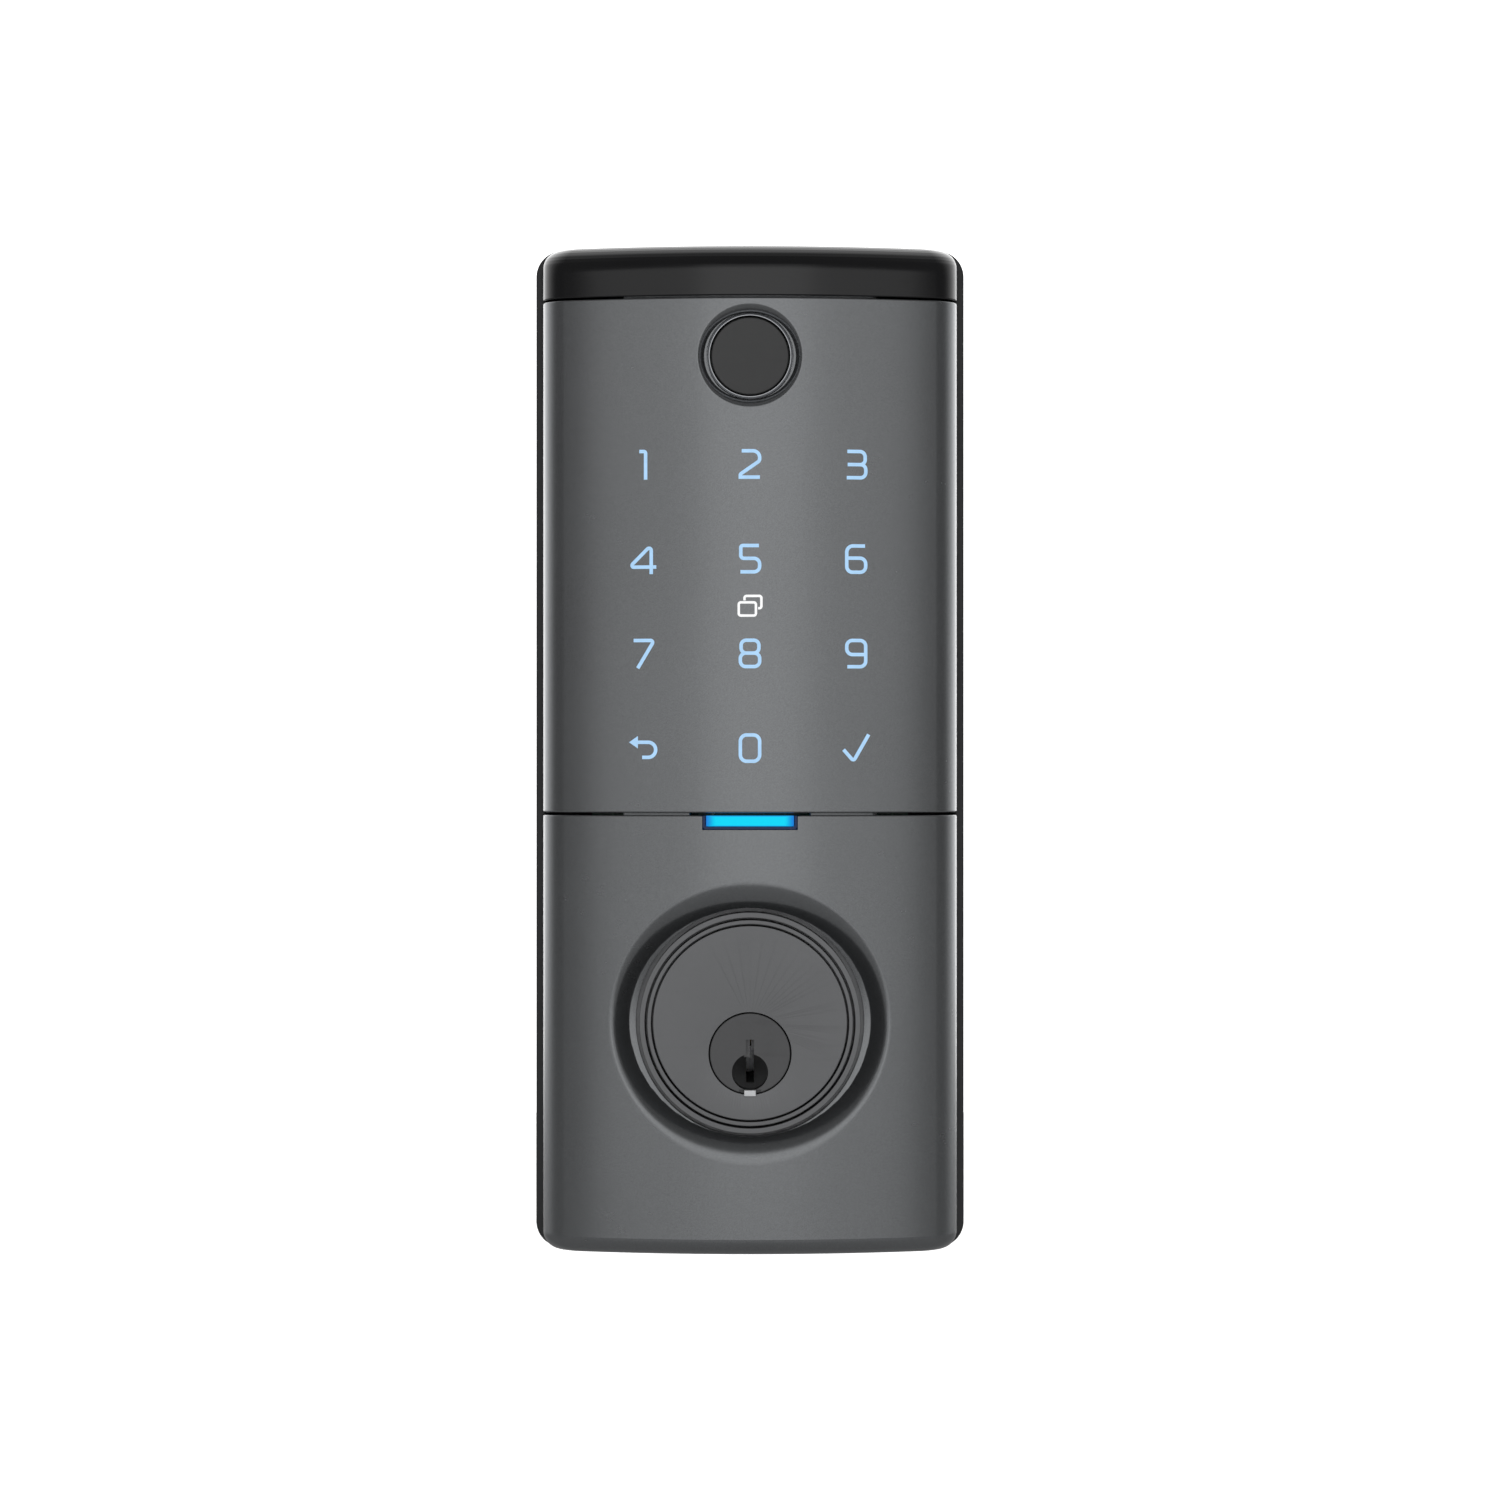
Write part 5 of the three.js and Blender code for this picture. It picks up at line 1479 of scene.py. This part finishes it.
class BuildPins(LockOperator, bpy.types.Operator):
    """Builds the key pins, the driver pins and the springs over them"""

    bl_idname = "lock.pins"
    bl_label = "Pins and Springs"

    def build(self):
        tree = spring_tree()
        wire, turns, lift = 0.2, 5.5, 2.2
        for i in PIN_NUMBERS:
            forward = middle_forward(f"key_pin_{i}")
            _, radius, low, high, _, _ = extent(f"key_pin_{i}")
            profile = [(0.0, low), (0.35, low), (radius, low + 1.0, 0.12), (radius, high, 0.1),
                       (0.0, high)]
            pin = upright(soften(profile, 3, closed=False), forward)
            piece(f"key_pin_{i}_visual", pin, "brass", f"key_pin_{i}", body=f"key_pin_{i}")
            _, radius, low, high, _, _ = extent(f"driver_pin_{i}")
            profile = [(0.0, low), (radius, low, 0.15), (radius, high, 0.15), (0.0, high)]
            pin = upright(soften(profile, 3, closed=False), forward)
            piece(f"driver_pin_{i}_visual", pin, "steel", f"driver_pin_{i}", body=f"driver_pin_{i}")
            _, coil, low, high, _, _ = extent(f"pin_spring_{i}")
            spring = grown(
                tree,
                [spot(0.0, low + wire, forward)],
                {"Coil Radius": coil - wire, "Wire Radius": wire, "Height": high - low - 2 * wire,
                 "Turns": turns, "Material": material("spring_steel")},
            )
            made = piece(f"pin_spring_{i}_visual", spring, "spring_steel", f"pin_spring_{i}")
            top = spot(0.0, high, forward) * MM
            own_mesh(made)
        refined("spring_cover", "brass", 0.12)


class BuildTailpiece(LockOperator, bpy.types.Operator):
    """Builds the tailpiece with the snap-off notches along its blade"""

    bl_idname = "lock.tailpiece"
    bl_label = "Tailpiece"

    def build(self):
        _, _, low, high, back, _ = extent("tailpiece")
        blade = bevelled(carried("tailpiece", whole=True), 0.12)
        first, pitch, bottom, mouth, mouth_half = 9.0, 7.0, 0.82, 1.4, 0.45
        notches = []
        for k in range(5):
            forward = back + first + pitch * k
            for side in (-1, 1):
                notch = [(side * bottom, forward), (side * mouth, forward + mouth_half),
                         (side * mouth, forward - mouth_half)]
                notches.append(
                    skin([[spot(x, up, y) for x, y in notch] for up in (low - 1, high + 1)])
                )
        piece("tailpiece_visual", cut(blade, *notches), "steel", "tailpiece", body="tailpiece")


# Name, CAD nodes and shank radius of each set of screws.
SCREW_SETS = (
    ("case_screws", [f"case_screw_{i}" for i in range(1, 7)], 1.2),
    ("board_screws", ["board_screw_1", "board_screw_2"], 1.2),
    ("cylinder_screws", ["cylinder_screw_1", "cylinder_screw_2"], 1.4),
)


class BuildScrews(LockOperator, bpy.types.Operator):
    """Drives the cross-recessed screws that hold case, boards and cylinder"""

    bl_idname = "lock.screws"
    bl_label = "Screws"

    def build(self):
        tree = screw_tree()
        head, head_height = 2.5, 1.2
        for name, nodes, shank in SCREW_SETS:
            _, _, _, _, back, front = extent(nodes[0])
            points = [spot(*middle(screw), back + head_height) for screw in nodes]
            screws = grown(
                tree,
                points,
                {"Head Radius": head, "Head Height": head_height, "Shank Radius": shank,
                 "Length": front - back - head_height, "Pitch": size("thread_pitch"),
                 "Recess Width": size("recess_width"), "Seed": bpy.context.scene.lock_stage.seed,
                 "Material": material("steel")},
            )
            piece(name, tidied(screws, MERGE), "steel", *nodes, angle=30)


class BuildPosts(LockOperator, bpy.types.Operator):
    """Builds the two threaded posts that take the bolts from indoors"""

    bl_idname = "lock.posts"
    bl_label = "Mounting Posts"

    def build(self):
        for side in ("left", "right"):
            name = f"post_{side}"
            x, up = middle(name)
            left, right, _, _, back, front = extent(name)
            radius = (right - left) / 2
            stem, shoulder, mouth = radius - 1.3, 1.2, 0.35
            bore, groove, pitch = 2.1, 0.22, 0.7
            profile = [(bore + mouth, back), (radius, back, 0.4), (radius, shoulder, 0.2),
                       (stem, shoulder), (stem, front, 0.25), (0.0, front)]
            outline = soften(profile, 4, closed=False) + [(0.0, shoulder + 1.0), (bore, shoulder)]
            count = int((shoulder - back - 1.0) / pitch)
            for k in range(count):
                forward = shoulder - 0.3 - k * pitch
                outline += [(bore, forward), (bore + groove, forward - pitch * 0.3),
                            (bore, forward - pitch * 0.6)]
            outline.append((bore, back + mouth))
            closed_post(name, turned_rings(outline, x, up, 64))


def closed_post(name, rings):
    """A post turned in one skin that runs from its bore's bottom round to its bore's mouth."""
    first_pole = next(i for i, ring in enumerate(rings) if len(ring) == 1)
    order = rings[first_pole + 1:] + rings[: first_pole + 1]
    piece(f"{name}_visual", skin(order), "steel", name, angle=28)


class BuildMountingPlate(LockOperator, bpy.types.Operator):
    """Builds the mounting plate, its screw holes cut round, and its gasket"""

    bl_idname = "lock.mounting_plate"
    bl_label = "Mounting Plate"

    def build(self):
        _, _, _, _, back, front = extent("mounting_plate")
        plate = carried("mounting_plate", whole=True)
        sets = {name: nodes for name, nodes, _ in SCREW_SETS}
        screws = sets["case_screws"] + sets["cylinder_screws"]
        hole = 2.83  # radius, which clears a screw's head
        cutters = [rod(*middle(screw), hole, back - 1, front + 1, steps=48) for screw in screws]
        plate = bevelled(cut(tidied(plate, MERGE), *cutters), 0.18)
        piece("mounting_plate_visual", plate, "zinc_plate", "mounting_plate")
        refined("gasket", "black_rubber", 0.25)


class BuildChargePort(LockOperator, bpy.types.Operator):
    """Builds the charging socket, its board and its rubber cover"""

    bl_idname = "lock.charge_port"
    bl_label = "Charging Port"

    def build(self):
        refined("usb_board", "circuit_board", CIRCUIT_EDGE)
        refined("usb_socket", "steel", 0.1)
        refined("usb_cover", "black_rubber", 0.22, "charge_port_cover", 3)


class BuildElectronics(LockOperator, bpy.types.Operator):
    """Builds the boards, the light guide and the components on them"""

    bl_idname = "lock.electronics"
    bl_label = "Electronics"

    def build(self):
        for node_name, slot, edge, segments in (
            ("light_guide", "white_plastic", 0.25, 2),
            ("touch_board", "circuit_board", CIRCUIT_EDGE, 2),
            ("main_board", "circuit_board", CIRCUIT_EDGE, 2),
            ("nfc_antenna", "copper", 0.05, 2),
            ("shield_can", "steel", 0.3, 3),
            ("buzzer", "black_component", 0.3, 3),
            ("board_connector", "white_plastic", 0.15, 2),
            ("cable_socket", "white_plastic", 0.12, 2),
        ):
            refined(node_name, slot, edge, segments=segments)
        lights = together([key_light(x, up) for _, x, up in key_places()])
        piece("key_lights", lights, "white_plastic")


def key_light(x, up):
    """The small light behind one key, standing on the touch board."""
    front = extent("touch_board")[5]
    half_width, half_height, depth = 0.8, 0.5, 0.7
    return slab(
        x - half_width, x + half_width, up - half_height, up + half_height,
        0.1, front, front + depth, 0.05, steps=2,
    )


class BuildStage(LockOperator, bpy.types.Operator):
    """Sets up the pale floor, the soft lights and the camera"""

    bl_idname = "lock.stage"
    bl_label = "Stage"

    def build(self):
        stage = bpy.context.scene.lock_stage
        scene = bpy.context.scene
        scene.view_settings.view_transform = "Standard"
        lens = bpy.data.cameras.new("camera")
        lens.lens = stage.lens
        lens.sensor_width = 36.0
        lens.clip_start, lens.clip_end = 0.01, 50.0
        camera = in_scene("camera", lens)
        camera.location = (0.0, -stage.distance, stage.height)
        camera.rotation_euler = (QUARTER, 0.0, 0.0)
        scene.camera = camera
        self.floor(stage)
        self.surround(scene, stage)
        target = (0.0, 0.0, 0.045)  # the lock's middle, in metres as all of the stage is
        soft_light("wide_light", (0.02, -1.35, 0.25), target, 2.15, 1.15, stage.wide_light)
        soft_light("front_light", (0.03, -1.30, 0.40), target, 0.60, 1.10, stage.front_light)

    def floor(self, stage):
        """A pale floor, darker in reflections, where it would wash out the paint."""
        far = 6.0
        mesh = bpy.data.meshes.new("floor")
        corners = [(-far, -far), (far, -far), (far, far), (-far, far)]
        mesh.from_pydata([(x, y, -stage.floor_drop) for x, y in corners], [], [(0, 1, 2, 3)])
        pale, tree, shader = new_material("pale_floor")
        shade = effect(
            tree, "Colour Drift", {"Colour": (0.90, 0.90, 0.90, 1.0), "Amount": 0.01, "Scale": 3.0}
        )
        seen = node(tree, "ShaderNodeLightPath").outputs["Is Camera Ray"]
        tree.links.new(
            mixed(tree, seen, (0.32, 0.32, 0.32, 1.0), shade), shader.inputs["Base Color"]
        )
        shader.inputs["Roughness"].default_value = 0.9
        shader.inputs["Specular IOR Level"].default_value = 0.1
        shader.inputs["Emission Color"].default_value = (1.0, 1.0, 1.0, 1.0)
        tree.links.new(
            calculate(tree, "MULTIPLY", seen, 0.55), shader.inputs["Emission Strength"]
        )
        mesh.materials.append(pale)
        in_scene("floor", mesh)

    def surround(self, scene, stage):
        """White behind the lock and to the camera, darker in front of it."""
        world = bpy.data.worlds.new("studio")
        scene.world = world
        world.use_nodes = True
        tree = world.node_tree
        shader = tree.nodes["Background"]
        where = node(tree, "ShaderNodeTexCoord").outputs["Generated"]
        parts = node(tree, "ShaderNodeSeparateXYZ", {0: where}).outputs
        level = ranged(tree, parts[1], -0.3, 1.0, stage.shade, stage.surround)
        seen = node(tree, "ShaderNodeLightPath").outputs["Is Camera Ray"]
        level = calculate(tree, "MAXIMUM", level, seen)
        tree.links.new(level, shader.inputs["Strength"])
        shader.inputs["Color"].default_value = (1.0, 1.0, 1.0, 1.0)


def soft_light(name, place, target, width, height, radiance):
    """A large even light that faces a target and that the camera doesn't see."""
    light = bpy.data.lights.new(name, "AREA")
    light.shape = "RECTANGLE"
    light.size, light.size_y = width, height
    light.energy = radiance * math.pi * width * height
    made = in_scene(name, light)
    made.location = place
    made.rotation_euler = (Vector(target) - Vector(place)).to_track_quat("-Z", "Y").to_euler()
    made.visible_camera = False
    return made


# ---------------------------------------------------------------- panel and registration

OPERATORS = (
    BuildStage,
    BuildTopCap,
    BuildKeypadPanel,
    BuildLowerCover,
    BuildLegends,
    BuildFingerprintReader,
    BuildLightBar,
    BuildRearCase,
    BuildKeyCylinder,
    BuildPlug,
    BuildPins,
    BuildTailpiece,
    BuildScrews,
    BuildPosts,
    BuildMountingPlate,
    BuildChargePort,
    BuildElectronics,
)
SETTINGS = (
    ("lock_sizes", LockSizes),
    ("lock_finishes", LockFinishes),
    ("lock_stage", LockStage),
)


class LockPanel(bpy.types.Panel):
    """Lists the lock's settings and the steps that build it"""

    bl_idname = "VIEW3D_PT_keypad_lock"
    bl_label = "Keypad Smart Lock"
    bl_space_type = "VIEW_3D"
    bl_region_type = "UI"
    bl_category = "Lock"

    def draw(self, context):
        for attribute, group in SETTINGS:
            column = self.layout.column(align=True)
            for name in group.__annotations__:
                column.prop(getattr(context.scene, attribute), name)
        column = self.layout.column(align=True)
        for operator in OPERATORS:
            column.operator(operator.bl_idname)


def register():
    for attribute, group in SETTINGS:
        bpy.utils.register_class(group)
        setattr(bpy.types.Scene, attribute, PointerProperty(type=group))
    for operator in OPERATORS:
        bpy.utils.register_class(operator)
    bpy.utils.register_class(LockPanel)


def unregister():
    bpy.utils.unregister_class(LockPanel)
    for operator in reversed(OPERATORS):
        bpy.utils.unregister_class(operator)
    for attribute, group in reversed(SETTINGS):
        delattr(bpy.types.Scene, attribute)
        bpy.utils.unregister_class(group)


def main():
    register()
    for operator in OPERATORS:
        category, name = operator.bl_idname.split(".")
        getattr(getattr(bpy.ops, category), name)()
    bpy.context.view_layer.update()


if __name__ == "__main__":
    main()
